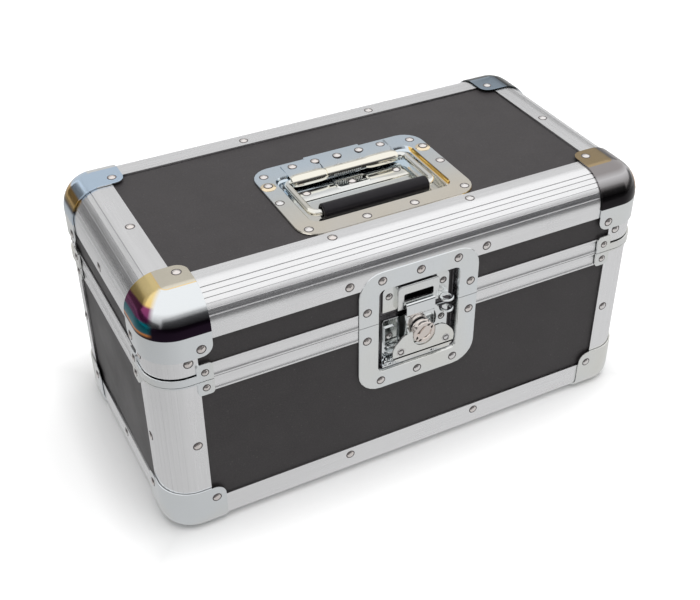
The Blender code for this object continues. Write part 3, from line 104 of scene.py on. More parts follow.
WELD = 0.01 * MM
CUT_NEAR = WELD / 10

# Rivets on the trim
EDGE_RIVET_X = 58.6 * MM
EDGE_RIVET_U = 25.6 * MM
BOTTOM_RIVET_U = 17.5 * MM
POST_RIVET_U = 25.0 * MM
LID_POST_RIVET = 18.4 * MM
BASE_POST_RIVET = 60.0 * MM
LID_BRACKET = 15.2 * MM
BASE_BRACKET = 12.6 * MM
CAP_RIVET = 35.0 * MM
TOP_CAP_RIVET = 38.0 * MM
BOTTOM_CAP_RIVET = 26.0 * MM

# Hinges on the back
HINGE_X = 110.0 * MM
HINGE_LENGTH = 60.0 * MM
HINGE_SHEET = 1.5 * MM
HINGE_LEAF = 30.0 * MM
HINGE_CLEAR = 4.2 * MM
KNUCKLE_RADIUS = 3.5 * MM
KNUCKLE_LENGTH = 15.0 * MM
KNUCKLE_GAP = 0.5 * MM
PIN_RADIUS = 1.6 * MM
STOP_RISE = 5.0 * MM
STOP_SHELF = 6.5 * MM
STOP_REACH = 3.63 * MM
HINGE_Y = BACK + RIM_PROUD + GAP + KNUCKLE_RADIUS
HINGE_RIVET_X = 21.0 * MM
HINGE_RIVET_NEAR = 9.8 * MM
HINGE_RIVET_FAR = 24.0 * MM

# Recessed handle: its middle, and heights above the top plane
HANDLE_X = -1.8 * MM
HANDLE_HALF = 75.4 * MM
HANDLE_FRONT = -73.7 * MM
HANDLE_BACK = 31.7 * MM
HANDLE_CORNER = 17.0 * MM
HANDLE_FACE = 1.5 * MM
HANDLE_SHEET = 1.2 * MM
RECESS_HALF = 61.4 * MM
RECESS_FRONT = -58.2 * MM
RECESS_BACK = 14.5 * MM
RECESS_FLOOR = -9.0 * MM
PIVOT_Y = 8.0 * MM
PIVOT_Z = -2.2 * MM
BAIL_ROD = 2.8 * MM
BAIL_ARM_X = 53.0 * MM
BAIL_REACH = 49.7 * MM
BAIL_BACK_BEND = 5.5 * MM
BAIL_FRONT_BEND = 6.8 * MM
BAIL_END_X = 2.5 * MM
GRIP_HALF = 45.75 * MM
GRIP_RADIUS = 6.5 * MM
GRIP_BORE = 3.4 * MM
HOOD_ROLL = 5.6 * MM
HOOD_TOP = 4.7 * MM
HOOD_BACK = 20.5 * MM
HOOD_RIVET_X = 19.9 * MM
SPRING_RADIUS = 3.7 * MM
SPRING_WIRE = 0.6 * MM
SPRING_PITCH = 1.75 * MM
SPRING_TURNS = 14
COIL_STEPS = 16

# Latch on the front: its middle, sizes about the split, and depths proud of the front plane
LATCH_X = 0.8 * MM
LATCH_HALF = 51.9 * MM
LATCH_ABOVE = 46.7 * MM
LATCH_BELOW = 64.8 * MM
LATCH_CORNER = 19.0 * MM
LATCH_FACE = 2.3 * MM
LATCH_WELL_HALF = 34.6 * MM
LATCH_WELL_HIGH = 29.4 * MM
LATCH_WELL_LOW = -47.5 * MM
LATCH_WELL_CORNER = 4.5 * MM
LATCH_FLOOR = -5.0 * MM
KEEPER_FACE = 0.6 * MM
MOUNT_FACE = -3.5 * MM
KNOB_H = -15.0 * MM
PIVOT_H = -42.0 * MM
DRAW_FACE = 4.5 * MM
DRAW_HALF = 12.4 * MM
MOUNT_SHEET = 1.1 * MM
GUIDE_SHEET = 1.4 * MM
WING_BACK = 9.0 * MM
WING_FACE = 10.4 * MM

SIDES = (("front", FRONT, 1), ("back", BACK, -1))
ENDS = (("left", LEFT, 1), ("right", RIGHT, -1))

# Sections of the rims in millimetres: out of the plane (inwards counts up) and above the split
LID_RIM = ((-1.4, 0.2), (-1.4, 1.7), (-1.0, 2.3), (-1.0, 10.9), (-1.4, 11.5), (-1.4, 13.0), (-0.3, 13.0),
           (-0.3, 5.0), (7.3, 5.0), (7.3, 11.0), (8.8, 11.0), (8.8, 0.4), (5.0, 0.4), (5.0, -4.0),
           (3.5, -4.0), (3.5, 0.2))
BASE_RIM = ((-1.4, -0.2), (-1.4, -1.7), (-1.0, -2.3), (-1.0, -9.9), (-1.4, -10.5), (-1.4, -12.0),
            (-0.3, -12.0), (-0.3, -7.3), (7.3, -7.3), (7.3, -12.0), (8.8, -12.0), (8.8, -0.4), (6.2, -0.4),
            (6.2, -5.5), (2.5, -5.5), (2.5, -0.2))
RIM_LEAF = (7.3, 8.8)

# Section of a domed rivet head, as shares of its radius and its rise; then where painted shade lies round its
# foot, and the side and start of a painted dark reflection on upright heads
RIVET_DOME = ((0.0, 1.0), (0.1, 0.97), (0.4, 0.78), (0.68, 0.52), (0.88, 0.24), (0.96, 0.03), (1.2, 0.03),
              (1.2, -0.12), (0.0, -0.12))
RIVET_RIM = 0.95
RIVET_DARK_REFLECTION_SIDE = (-0.42, -0.30, 0.86)
RIVET_DARK_REFLECTION_FROM = 0.5

# Forms of the handle in millimetres. Wall: how far in, and how high
HANDLE_WALL = ((0.0, 1.5), (0.7, 0.3), (1.3, -1.2), (2.9, -1.9), (3.3, -7.8), (4.3, -9.0))
# Bars of the flange's back edge: left, right, start and end from the edge, rounding, rise
HANDLE_LIP = ((-26.0, 24.0, -4.0, 1.7, 1.0, 0.25), (-24.9, -16.1, -5.5, -4.4, 0.4, 0.15),
              (15.1, 23.9, -5.5, -4.4, 0.4, 0.15))
# Hood: name, left, right, size of its section and sweep in degrees; then how its ends swell
HOOD_SPANS = (("left", -48.0, -17.0, 1.0, 205.0), ("middle", -17.6, 17.6, 0.86, 175.0),
              ("right", 17.0, 46.3, 1.0, 205.0))
HOOD_ENDS = (0.0, 1.2, 3.2, 6.5, 11.0)
HOOD_RISES = (0.72, 0.84, 0.93, 0.99, 1.0)
# Strap and seat: half length, front, back and corner; steps in and up; which step is rounded, and how much
STRAP_FORMS = (((48.0, -22.0, -2.0, 2.0), ((0.0, 0.0), (0.3, 1.1)), 1, 0.4),
               ((15.0, -18.0, -5.0, 4.0), ((0.0, 1.0), (1.0, 2.3), (2.4, 1.6)), 1, 0.5))
WASHER = ((0, 1.5), (3.0, 1.4), (4.8, 1.0), (6.0, 0.45), (6.3, 0.0), (6.3, -0.1), (0, -0.1))

# Forms of the latch in millimetres: turned sections, then outlines of (x, y, rounding)
EYE_RING = ((3.3, -0.75), (3.9, -0.95), (5.0, -0.95), (5.6, -0.6), (5.6, 0.6), (5.0, 0.95), (3.9, 0.95),
            (3.3, 0.75), (3.3, -0.75))
LATCH_PIN = ((0, -29.5), (1.6, -29.5), (2.0, -29.1), (2.0, 29.1), (1.6, 29.5), (0, 29.5))
KNOB_HEAD = ((0, 1.3), (3.3, 1.3), (3.3, 4.8), (8.6, 4.8), (9.3, 5.3), (9.3, 6.6), (8.8, 7.1), (8.8, 7.9),
             (9.5, 8.4), (9.5, 10.5), (9.0, 11.0))
WING_PIN = ((0, -13.0), (1.2, -13.0), (1.2, 13.0), (0, 13.0))
EYELET = ((0, 0.45), (1.5, 0.4), (1.9, 0.05), (2.4, 0.05), (2.9, 0.5), (3.3, 0.4), (3.5, 0.0), (3.5, -0.3),
          (0, -0.3))
WING_SIDE = ((9.9, 3.0, 0.0), (17.5, 3.0, 4.0), (29.6, -10.5, 8.0), (23.0, -24.2, 8.0), (9.0, -18.5, 5.0))
WING_NOTCH = ((-9.9, 3.0, 0.0), (-9.9, -11.9, 9.8), (9.9, -11.9, 9.8))
# Two walls of the bent guide: left, right, rise out of the mount, low and high
GUIDE_WALLS = ((-27.0, -13.8, 0.6, -28.4, -27.0), (-26.0, -11.5, 0.2, -34.4, -33.2))

# Turns of a flat outline: swap y and z, or lay it square to x
SWAP_Y_Z = Matrix(((1, 0, 0, 0), (0, 0, 1, 0), (0, 1, 0, 0), (0, 0, 0, 1)))
ALONG_X = Matrix(((0, 0, 1, 0), (1, 0, 0, 0), (0, 1, 0, 0), (0, 0, 0, 1)))


class CaseTrim(bpy.types.PropertyGroup):
    """Sizes of the trim that a user may change."""

    corner_radius: FloatProperty(name="Corner Radius", description="Outer radius of the ribbed edges",
                                 default=25.3 * MM, unit="LENGTH")
    bottom_radius: FloatProperty(name="Bottom Radius", description="Outer radius of the bottom edges",
                                 default=10.0 * MM, unit="LENGTH")
    flute_pitch: FloatProperty(name="Flute Pitch", description="Distance between two fine grooves",
                               default=4.28 * MM, unit="LENGTH")
    flute_width: FloatProperty(name="Flute Width", description="Width of a fine groove",
                               default=0.9 * MM, unit="LENGTH")
    flute_depth: FloatProperty(name="Flute Depth", description="Depth of a fine groove",
                               default=0.4 * MM, unit="LENGTH")
    rivet_radius: FloatProperty(name="Rivet Radius", description="Radius of a rivet head",
                                default=3.2 * MM, unit="LENGTH")
    small_rivet_radius: FloatProperty(name="Small Rivet Radius", description="Radius of a bracket rivet",
                                      default=2.6 * MM, unit="LENGTH")
    rivet_rise: FloatProperty(name="Rivet Rise", description="Height of a rivet's dome",
                              default=1.3 * MM, unit="LENGTH")
    edge_round: FloatProperty(name="Edge Round", description="Rounding of the sheets' edges",
                              default=0.25 * MM, unit="LENGTH")


class CaseFinish(bpy.types.PropertyGroup):
    """Colours of the case that a user may change."""

    laminate: FloatVectorProperty(name="Laminate", description="Colour of the panels' vinyl laminate",
                                  default=(0.034, 0.031, 0.032), subtype="COLOR")
    aluminium: FloatVectorProperty(name="Aluminium", description="Colour of the satin extrusions",
                                   default=(0.94, 0.94, 0.95), subtype="COLOR")
    zinc: FloatVectorProperty(name="Zinc", description="Colour of the plated caps and fittings",
                              default=(0.83, 0.86, 0.88), subtype="COLOR")
    zinc_warm: FloatVectorProperty(name="Zinc Tint", description="Warm tint where the plating is thicker",
                                   default=(0.90, 0.80, 0.58), subtype="COLOR")
    rivet: FloatVectorProperty(name="Rivet", description="Colour of the rivet heads",
                               default=(0.84, 0.78, 0.75), subtype="COLOR")
    rubber: FloatVectorProperty(name="Rubber", description="Colour of the grip",
                                default=(0.007, 0.006, 0.008), subtype="COLOR")
    foam: FloatVectorProperty(name="Foam", description="Colour of the lining",
                              default=(0.025, 0.025, 0.027), subtype="COLOR")


class CaseStudio(bpy.types.PropertyGroup):
    """Light and backdrop of the picture."""

    key_power: FloatProperty(name="Key Power", description="Power of the large lamp overhead, in watts",
                             default=27.0)
    side_power: FloatProperty(name="Side Power", description="Power of the lamp at the right, in watts",
                              default=4.0)
    fill: FloatProperty(name="Fill", description="Strength of the even light from all round", default=0.55)
    floor: FloatVectorProperty(name="Floor", description="Colour of the floor and backdrop",
                               default=(0.86, 0.86, 0.86), subtype="COLOR")


def trim():
    """The trim sizes as they are set in this scene."""
    return bpy.context.scene.case_trim


def finish_colours():
    """The colours as they are set in this scene."""
    return bpy.context.scene.case_finish


# Shapes

def mm(*numbers):
    """Numbers of millimetres, in metres."""
    return tuple(number * MM for number in numbers)


def metres(points):
    """Rows of millimetres, in metres."""
    return [mm(*point) for point in points]


def axes(origin, first, second, third):
    """A matrix whose local axes point along the three directions given, from an origin."""
    return Matrix.Translation(origin) @ Matrix((first, second, third)).transposed().to_4x4()


def facing(point, out):
    """A place at a point, with its local Z pointing out."""
    return Matrix.Translation(point) @ Vector(out).to_track_quat("Z", "Y").to_matrix().to_4x4()


def parts_of(items, kind):
    """The parts of some elements, such as their verts or link_edges, each once."""
    return list(dict.fromkeys(part for item in items for part in getattr(item, kind)))


def edges_of(geometry):
    """The edges in an operator's mixed output."""
    return [item for item in geometry if isinstance(item, bmesh.types.BMEdge)]


def verts_of(geometry):
    """The vertices in an operator's mixed output."""
    return [item for item in geometry if isinstance(item, bmesh.types.BMVert)]


def settle(bm, before, place):
    """Set the vertices that weren't there before in their place, and return them."""
    fresh = [vert for vert in bm.verts if vert not in before]
    if place is not None:
        bmesh.ops.transform(bm, matrix=place, verts=fresh)
    return fresh


def draw_out(bm, edges, step):
    """Extrude edges along a step and return the new edges."""
    made = bmesh.ops.extrude_edge_only(bm, edges=edges)["geom"]
    bmesh.ops.translate(bm, vec=step, verts=verts_of(made))
    return edges_of(made)


def turn_out(bm, edges, centre, axis, angle, steps):
    """Spin edges about an axis and return the last ones."""
    made = bmesh.ops.spin(bm, geom=parts_of(edges, "verts") + edges, cent=centre, axis=axis, angle=angle,
                          steps=steps)
    return edges_of(made["geom_last"])


def merge(bm):
    """Merge doubles."""
    bmesh.ops.remove_doubles(bm, verts=bm.verts, dist=WELD)


def face_out(bm, outward=None):
    """Merge doubles and point the faces outwards; an open sheet faces the direction given."""
    merge(bm)
    bmesh.ops.recalc_face_normals(bm, faces=bm.faces)
    if outward is not None:
        total = sum((face.normal * face.calc_area() for face in bm.faces), Vector())
        if total.dot(Vector(outward)) < 0:
            bmesh.ops.reverse_faces(bm, faces=bm.faces)


def cut_through(bm, point, normal, clear=False):
    """Cut the whole mesh along a plane, clear what lies beyond it if asked, and return the cut's vertices."""
    made = bmesh.ops.bisect_plane(bm, geom=bm.verts[:] + bm.edges[:] + bm.faces[:], dist=CUT_NEAR,
                                  plane_co=point, plane_no=normal, clear_outer=clear)
    return verts_of(made["geom_cut"])


def round_corners(bm, verts, width, segments):
    """Round the corners of flat outlines."""
    bmesh.ops.bevel(bm, geom=verts, offset=width, offset_type="OFFSET", segments=segments, profile=0.5,
                    affect="VERTICES", clamp_overlap=False, material=-1)


def round_edges(bm, edges, width, segments=3):
    """Round edges with a bevel of their own."""
    bmesh.ops.bevel(bm, geom=edges, offset=width, offset_type="OFFSET", segments=segments, profile=0.5,
                    affect="EDGES", clamp_overlap=True, material=-1)


def box_corners(low, high, *roundings):
    """Corners of a rectangle, anticlockwise from the low one, each with its own rounding."""
    corners = ((low[0], low[1]), (high[0], low[1]), (high[0], high[1]), (low[0], high[1]))
    roundings = roundings * 4 if len(roundings) == 1 else roundings
    return [(x, y, rounding) for (x, y), rounding in zip(corners, roundings)]


def box_mm(left, low, right, high, *roundings):
    """Corners of a rectangle that is given in millimetres."""
    return box_corners(mm(left, low), mm(right, high), *mm(*roundings))


def grown(low, high, step, rounding):
    """A rectangle's corners, drawn in by a step on every side."""
    return box_corners((low[0] + step, low[1] + step), (high[0] - step, high[1] - step),
                       max(rounding - step, 0.5 * MM))


def add_outline(bm, corners, level, segments=5):
    """A flat face from (x, y, rounding) corners at a level."""
    before = set(bm.faces)
    verts = [bm.verts.new((x, y, level)) for x, y, _ in corners]
    bm.faces.new(verts)
    for rounding in sorted({corner[2] for corner in corners} - {0}):
        round_corners(bm, [vert for vert, corner in zip(verts, corners) if corner[2] == rounding], rounding,
                      segments)
    return next(face for face in bm.faces if face not in before)


def add_bar(bm, corners, low, high, place=None, segments=5):
    """A straight bar with a flat outline, from one level to another."""
    before = set(bm.verts)
    face = add_outline(bm, corners, low, segments)
    made = bmesh.ops.extrude_face_region(bm, geom=[face])["geom"]
    bmesh.ops.translate(bm, vec=(0, 0, high - low), verts=verts_of(made))
    settle(bm, before, place)


def add_turned(bm, profile, place, steps=24):
    """A turned shape: (radius, height) points spun round the local Z axis and set in place."""
    before = set(bm.verts)
    verts = [bm.verts.new((radius, 0, height)) for radius, height in profile]
    edges = [bm.edges.new(pair) for pair in zip(verts, verts[1:])]
    bmesh.ops.spin(bm, geom=verts + edges, cent=(0, 0, 0), axis=UP, angle=2 * math.pi, steps=steps,
                   use_merge=True)
    return settle(bm, before, place)


def add_ring(bm, sides, radius, place):
    """A filled circle, with which a rod or a coil starts, as its vertices and edges."""
    ring = bmesh.ops.create_circle(bm, segments=sides, radius=radius, matrix=place)["verts"]
    edges = parts_of(ring, "link_edges")
    bmesh.ops.edgeloop_fill(bm, edges=edges)
    return ring, edges


def add_dish(bm, outlines, segments=6, closed=True):
    """A pressed dish: (corners, level) outlines joined one after another, with the last one closed.

    The outlines are set apart while they are joined, since loops in one plane would be joined with a twist.
    """
    apart = 10.0 * MM
    loops = []
    for step, (corners, level) in enumerate(outlines):
        face = add_outline(bm, corners, level - step * apart, segments)
        loops.append(list(face.edges))
        if not closed or step < len(outlines) - 1:
            bmesh.ops.delete(bm, geom=[face], context="FACES_ONLY")
    for first, second in zip(loops, loops[1:]):
        bmesh.ops.bridge_loops(bm, edges=first + second)
    for step, edges in enumerate(loops):
        bmesh.ops.translate(bm, vec=(0, 0, step * apart), verts=parts_of(edges, "verts"))
    return loops


def make_piece(name, bm, body, surface, nodes=(), sharp=35.0, outward=None, place=None):
    """Turn a bmesh into a piece that rides on a body and may stand for CAD nodes."""
    if place is not None:
        bmesh.ops.transform(bm, matrix=place, verts=bm.verts)
    face_out(bm, outward)
    mesh = bpy.data.meshes.new(name)
    bm.edges.index_update()
    rims = [edge.index for edge in bm.edges if len(edge.link_faces) == 1]
    bm.to_mesh(mesh)
    bm.free()
    mesh.shade_smooth()
    mesh.set_sharp_from_angle(angle=math.radians(sharp))
    for index in rims:
        mesh.edges[index].use_edge_sharp = True
    mesh.materials.append(SURFACES[surface])
    piece = bpy.data.objects.new(name, mesh)
    bpy.context.scene.collection.objects.link(piece)
    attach(piece, body)
    if nodes:
        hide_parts(*nodes)
    return piece


def thicken(piece, thickness):
    """Give an open sheet its thickness, inwards."""
    wall = piece.modifiers.new("Sheet", "SOLIDIFY")
    wall.thickness = thickness
    wall.offset = -1
    wall.use_even_offset = True
    return piece


def soften(piece, width=None):
    """Round a piece's sharp edges a little."""
    bevel = piece.modifiers.new("Round", "BEVEL")
    bevel.width = width or trim().edge_round
    bevel.segments = 2
    bevel.limit_method = "ANGLE"
    bevel.angle_limit = math.radians(40.0)
    bevel.harden_normals = True


# Finishes

def new_group(name, inputs, outputs):
    """An empty shader group with its sockets: (name, type, default) in, (name, type) out."""
    group = bpy.data.node_groups.new(name, "ShaderNodeTree")
    for label, kind, value in inputs:
        socket = group.interface.new_socket(label, in_out="INPUT", socket_type="NodeSocket" + kind)
        if value is not None:
            socket.default_value = value
    for label, kind in outputs:
        group.interface.new_socket(label, in_out="OUTPUT", socket_type="NodeSocket" + kind)
    return group, group.nodes.new("NodeGroupInput"), group.nodes.new("NodeGroupOutput")


def wire(tree, *pairs):
    """Link pairs of sockets."""
    for source, target in pairs:
        tree.links.new(source, target)


def add_scaled(tree, vector, factor):
    """A vector times a factor; both are sockets."""
    node = tree.nodes.new("ShaderNodeVectorMath")
    node.operation = "SCALE"
    wire(tree, (vector, node.inputs[0]), (factor, node.inputs["Scale"]))
    return node.outputs["Vector"]


def add_axes(tree, place):
    """The X, Y and Z of a place."""
    apart = tree.nodes.new("ShaderNodeSeparateXYZ")
    wire(tree, (place, apart.inputs["Vector"]))
    return apart.outputs


def add_depth(tree, place, axis, start, end):
    """Nought to one along an axis, from a start to an end."""
    return add_range(tree, add_axes(tree, place)[axis], start, end)


def feed(tree, item, socket):
    """Set a socket to a number or a colour, or link it to another socket."""
    if hasattr(item, "node"):
        tree.links.new(item, socket)
    elif hasattr(item, "__len__"):
        socket.default_value = (*item[:3], 1.0)
    else:
        socket.default_value = item


def add_noise(tree, vector, scale, detail=4.0, roughness=0.5):
    """A noise texture on a vector."""
    noise = tree.nodes.new("ShaderNodeTexNoise")
    noise.inputs["Scale"].default_value = scale
    noise.inputs["Detail"].default_value = detail
    noise.inputs["Roughness"].default_value = roughness
    tree.links.new(vector, noise.inputs["Vector"])
    return noise.outputs["Fac"]


def add_range(tree, value, low, high, to_low=0.0, to_high=1.0):
    """Map a value from one range to another, clamped."""
    node = tree.nodes.new("ShaderNodeMapRange")
    for label, item in zip(("Value", "From Min", "From Max", "To Min", "To Max"),
                           (value, low, high, to_low, to_high)):
        feed(tree, item, node.inputs[label])
    return node.outputs["Result"]


def add_math(tree, operation, first, second):
    """A math node on two sockets or numbers."""
    node = tree.nodes.new("ShaderNodeMath")
    node.operation = operation
    for socket, item in zip(node.inputs, (first, second)):
        feed(tree, item, socket)
    return node.outputs["Value"]


def add_product(tree, first, second):
    """Two values multiplied."""
    return add_math(tree, "MULTIPLY", first, second)


def add_mix(tree, share, first, second):
    """Mix two colours; each may be a socket or a colour."""
    node = tree.nodes.new("ShaderNodeMix")
    node.data_type = "RGBA"
    colours = [socket for socket in node.inputs if socket.type == "RGBA"]
    for socket, item in zip([node.inputs["Factor"]] + colours, (share, first, second)):
        feed(tree, item, socket)
    return [socket for socket in node.outputs if socket.type == "RGBA"][0]


def add_ramp(tree, value, stops):
    """A colour ramp from (place, colour) stops."""
    node = tree.nodes.new("ShaderNodeValToRGB")
    node.color_ramp.interpolation = "LINEAR"
    elements = node.color_ramp.elements
    while len(elements) < len(stops):
        elements.new(1.0)
    for element, (place, colour) in zip(elements, stops):
        element.position = place
        element.color = (*colour, 1.0)
    tree.links.new(value, node.inputs["Fac"])
    return node.outputs["Color"]


def make_drawn_grain():
    """Fine drawing lines of an extrusion; the vector comes already stretched along the metal."""
    group, source, result = new_group(
        "Drawn Grain", [("Vector", "Vector", None), ("Fineness", "Float", 1.0)],
        [("Streaks", "Float"), ("Height", "Float")])
    scaled = add_scaled(group, source.outputs["Vector"], source.outputs["Fineness"])
    broad = add_noise(group, scaled, 0.35, 3.0, 0.6)
    fine = add_noise(group, scaled, 1.6, 5.0, 0.65)
    both = add_math(group, "ADD", add_product(group, broad, 0.45), add_product(group, fine, 0.55))
    wire(group, (add_range(group, both, 0.35, 0.65), result.inputs["Streaks"]),
         (fine, result.inputs["Height"]))
    return group


def make_handling_marks():
    """Smudges, dust and light scratches of use."""
    group, source, result = new_group(
        "Handling Marks", [("Vector", "Vector", None), ("Size", "Float", 22.0)],
        [("Smudge", "Float"), ("Specks", "Float"), ("Scratches", "Float")])
    scaled = add_scaled(group, source.outputs["Vector"], source.outputs["Size"])
    smudge = add_noise(group, scaled, 1.0, 5.0, 0.6)
    specks = add_noise(group, scaled, 42.0, 2.0, 0.5)
    turned = group.nodes.new("ShaderNodeMapping")
    turned.inputs["Rotation"].default_value = (0.4, 0.7, 0.9)
    turned.inputs["Scale"].default_value = (60.0, 2.0, 3.0)
    wire(group, (scaled, turned.inputs["Vector"]))
    lines = add_noise(group, turned.outputs["Vector"], 1.0, 2.0, 0.5)
    wire(group, (add_range(group, smudge, 0.35, 0.7), result.inputs["Smudge"]),
         (add_range(group, specks, 0.68, 0.78), result.inputs["Specks"]),
         (add_range(group, lines, 0.66, 0.74), result.inputs["Scratches"]))
    return group


def make_plating_tint():
    """Slow bands of colour that a thin chromate film gives to zinc plate."""
    group, source, result = new_group(
        "Plating Tint", [("Vector", "Vector", None), ("Cool", "Color", (0.8, 0.85, 0.9, 1.0)),
                         ("Warm", "Color", (0.9, 0.8, 0.6, 1.0)), ("Depth", "Float", 0.6)],
        [("Color", "Color")])
    cloud = add_noise(group, source.outputs["Vector"], 14.0, 2.0, 0.45)
    tint = add_mix(group, add_range(group, cloud, 0.38, 0.66), source.outputs["Cool"], source.outputs["Warm"])
    pale = add_mix(group, source.outputs["Depth"], source.outputs["Cool"], tint)
    wire(group, (pale, result.inputs["Color"]))
    return group


def make_laminate_grain():
    """Fine pebble of a vinyl laminate, with a slight cloudiness."""
    group, source, result = new_group(
        "Laminate Grain", [("Vector", "Vector", None), ("Pebble", "Float", 900.0)],
        [("Height", "Float"), ("Cloud", "Float")])
    scaled = add_scaled(group, source.outputs["Vector"], source.outputs["Pebble"])
    cloud = add_noise(group, source.outputs["Vector"], 35.0, 6.0, 0.7)
    wire(group, (add_noise(group, scaled, 1.0, 2.0, 0.5), result.inputs["Height"]),
         (add_range(group, cloud, 0.3, 0.7), result.inputs["Cloud"]))
    return group


def use_group(tree, group, vector, **values):
    """Place a group in a material with its own values."""
    node = tree.nodes.new("ShaderNodeGroup")
    node.node_tree = group
    tree.links.new(vector, node.inputs["Vector"])
    for label, value in values.items():
        feed(tree, value, node.inputs[label])
    return node.outputs


def add_attribute(tree, name):
    """A value that a piece's vertices carry."""
    node = tree.nodes.new("ShaderNodeAttribute")
    node.attribute_name = name
    return node.outputs["Fac"]


def new_surface(name, roughness, metallic):
    """A material with its shader, its tree and the object's own coordinates."""
    surface = bpy.data.materials.new(name)
    surface.use_nodes = True
    tree = surface.node_tree
    shader = tree.nodes["Principled BSDF"]
    shader.inputs["Roughness"].default_value = roughness
    shader.inputs["Metallic"].default_value = metallic
    place = tree.nodes.new("ShaderNodeTexCoord").outputs["Object"]
    return surface, tree, shader, place


def add_bump(tree, shader, height, strength, distance):
    """Feed a height into the shader's normal."""
    bump = tree.nodes.new("ShaderNodeBump")
    bump.inputs["Strength"].default_value = strength
    bump.inputs["Distance"].default_value = distance
    wire(tree, (height, bump.inputs["Height"]), (bump.outputs["Normal"], shader.inputs["Normal"]))


GROUPS = {}
SURFACES = {}
# Painted reflection bands on the caps: how far down and in they reach, and their colours from the top down
PAINTED_REFLECTION_DROP = 25.0 * MM
PAINTED_REFLECTION_IN = 21.0 * MM
PAINTED_REFLECTION_SOFT = 1.5 * MM
PAINTED_REFLECTIONS_FRONT_LEFT = ((0.0, (0.88, 0.70, 0.34)), (0.06, (0.86, 0.66, 0.28)), (0.17, (0.84, 0.60, 0.22)),
           (0.22, (0.25, 0.05, 0.14)), (0.50, (0.16, 0.03, 0.12)), (0.56, (0.0, 0.16, 0.20)),
           (0.80, (0.02, 0.14, 0.18)), (0.86, (0.8, 0.3, 0.08)), (0.93, (0.05, 0.03, 0.03)))
PAINTED_REFLECTIONS_BACK_LEFT = ((0.0, (0.62, 0.76, 0.92)), (0.14, (0.60, 0.72, 0.86)), (0.20, (0.70, 0.42, 0.12)),
                (0.45, (0.45, 0.30, 0.10)), (0.55, (0.05, 0.04, 0.04)), (0.66, (0.60, 0.68, 0.76)))
PAINTED_REFLECTIONS_FRONT_RIGHT = ((0.0, (0.30, 0.28, 0.28)), (0.12, (0.52, 0.51, 0.52)), (0.36, (0.16, 0.15, 0.15)),
                 (0.58, (0.02, 0.018, 0.02)))
PAINTED_REFLECTIONS_BACK_RIGHT = ((0.0, (0.05, 0.06, 0.06)), (0.05, (0.06, 0.07, 0.07)), (0.16, (0.80, 0.83, 0.86)))
# Painted reflection colours of the caps' flat tops, a painted glint line round the front left one and a
# painted reflection on the right caps' rims, and how far down the round the flat tops give way
CAP_FLAT_REFLECTIONS = {"back_left": (0.62, 0.76, 0.92), "front_left": (0.74, 0.69, 0.58),
             "back_right": (0.34, 0.42, 0.50), "front_right": (0.40, 0.30, 0.17)}
CAP_GLINT_LINE = (0.90, 0.66, 0.30)
CAP_RIM_REFLECTION = (0.95, 0.50, 0.16)
CROWN_START = 0.30 * MM
CROWN_END = 0.60 * MM
# Painted dark reflection belt where the left caps' rounds face forwards
CAP_DARK_REFLECTION = (0.018, 0.010, 0.02)
# Plate of the handle from its back to its front, the painted reflection line along its recess, scratches on
# metal, and the painted shade and dark reflection on rivets and eyelets
LEAN_COOL = (0.58, 0.72, 0.86)
LEAN_WARM = (0.86, 0.78, 0.66)
RECESS_REFLECTION_LINE = (0.90, 0.58, 0.16)
SCRATCH = (0.55, 0.56, 0.58)
RIVET_PAINTED_DARK = (0.07, 0.06, 0.06)
DUST = (0.2, 0.19, 0.18)
SPECK_DISTANCE = 0.00004
GRAIN_ALONG = {"x": (12.0, 900.0, 900.0), "y": (900.0, 12.0, 900.0), "z": (900.0, 900.0, 12.0)}


def make_aluminium(along):
    """Satin aluminium drawn along an axis, with painted shade darkening its grooves."""
    colour = Vector(finish_colours().aluminium)
    surface, tree, shader, place = new_surface("aluminium_" + along, 0.3, 1.0)
    stretched = tree.nodes.new("ShaderNodeMapping")
    stretched.inputs["Scale"].default_value = GRAIN_ALONG[along]
    wire(tree, (place, stretched.inputs["Vector"]))
    grain = use_group(tree, GROUPS["grain"], stretched.outputs["Vector"])
    marks = use_group(tree, GROUPS["marks"], place, Size=18.0)
    streaked = add_mix(tree, grain["Streaks"], colour * 0.93, colour)
    dulled = add_mix(tree, add_product(tree, marks["Smudge"], 0.12), streaked, colour * 0.8)
    # Painted shade darkens the grooves by their depth
    groove_shade = add_range(tree, add_attribute(tree, "groove"), 0.1, 0.9, 0.0, 0.45)
    rough = add_math(tree, "ADD", add_product(tree, grain["Streaks"], 0.06),
                     add_range(tree, marks["Smudge"], 0.0, 1.0, 0.19, 0.26))
    wire(tree, (add_mix(tree, groove_shade, dulled, colour * 0.3), shader.inputs["Base Color"]),
         (rough, shader.inputs["Roughness"]))
    add_bump(tree, shader, grain["Height"], 0.10, 0.00005)
    return surface


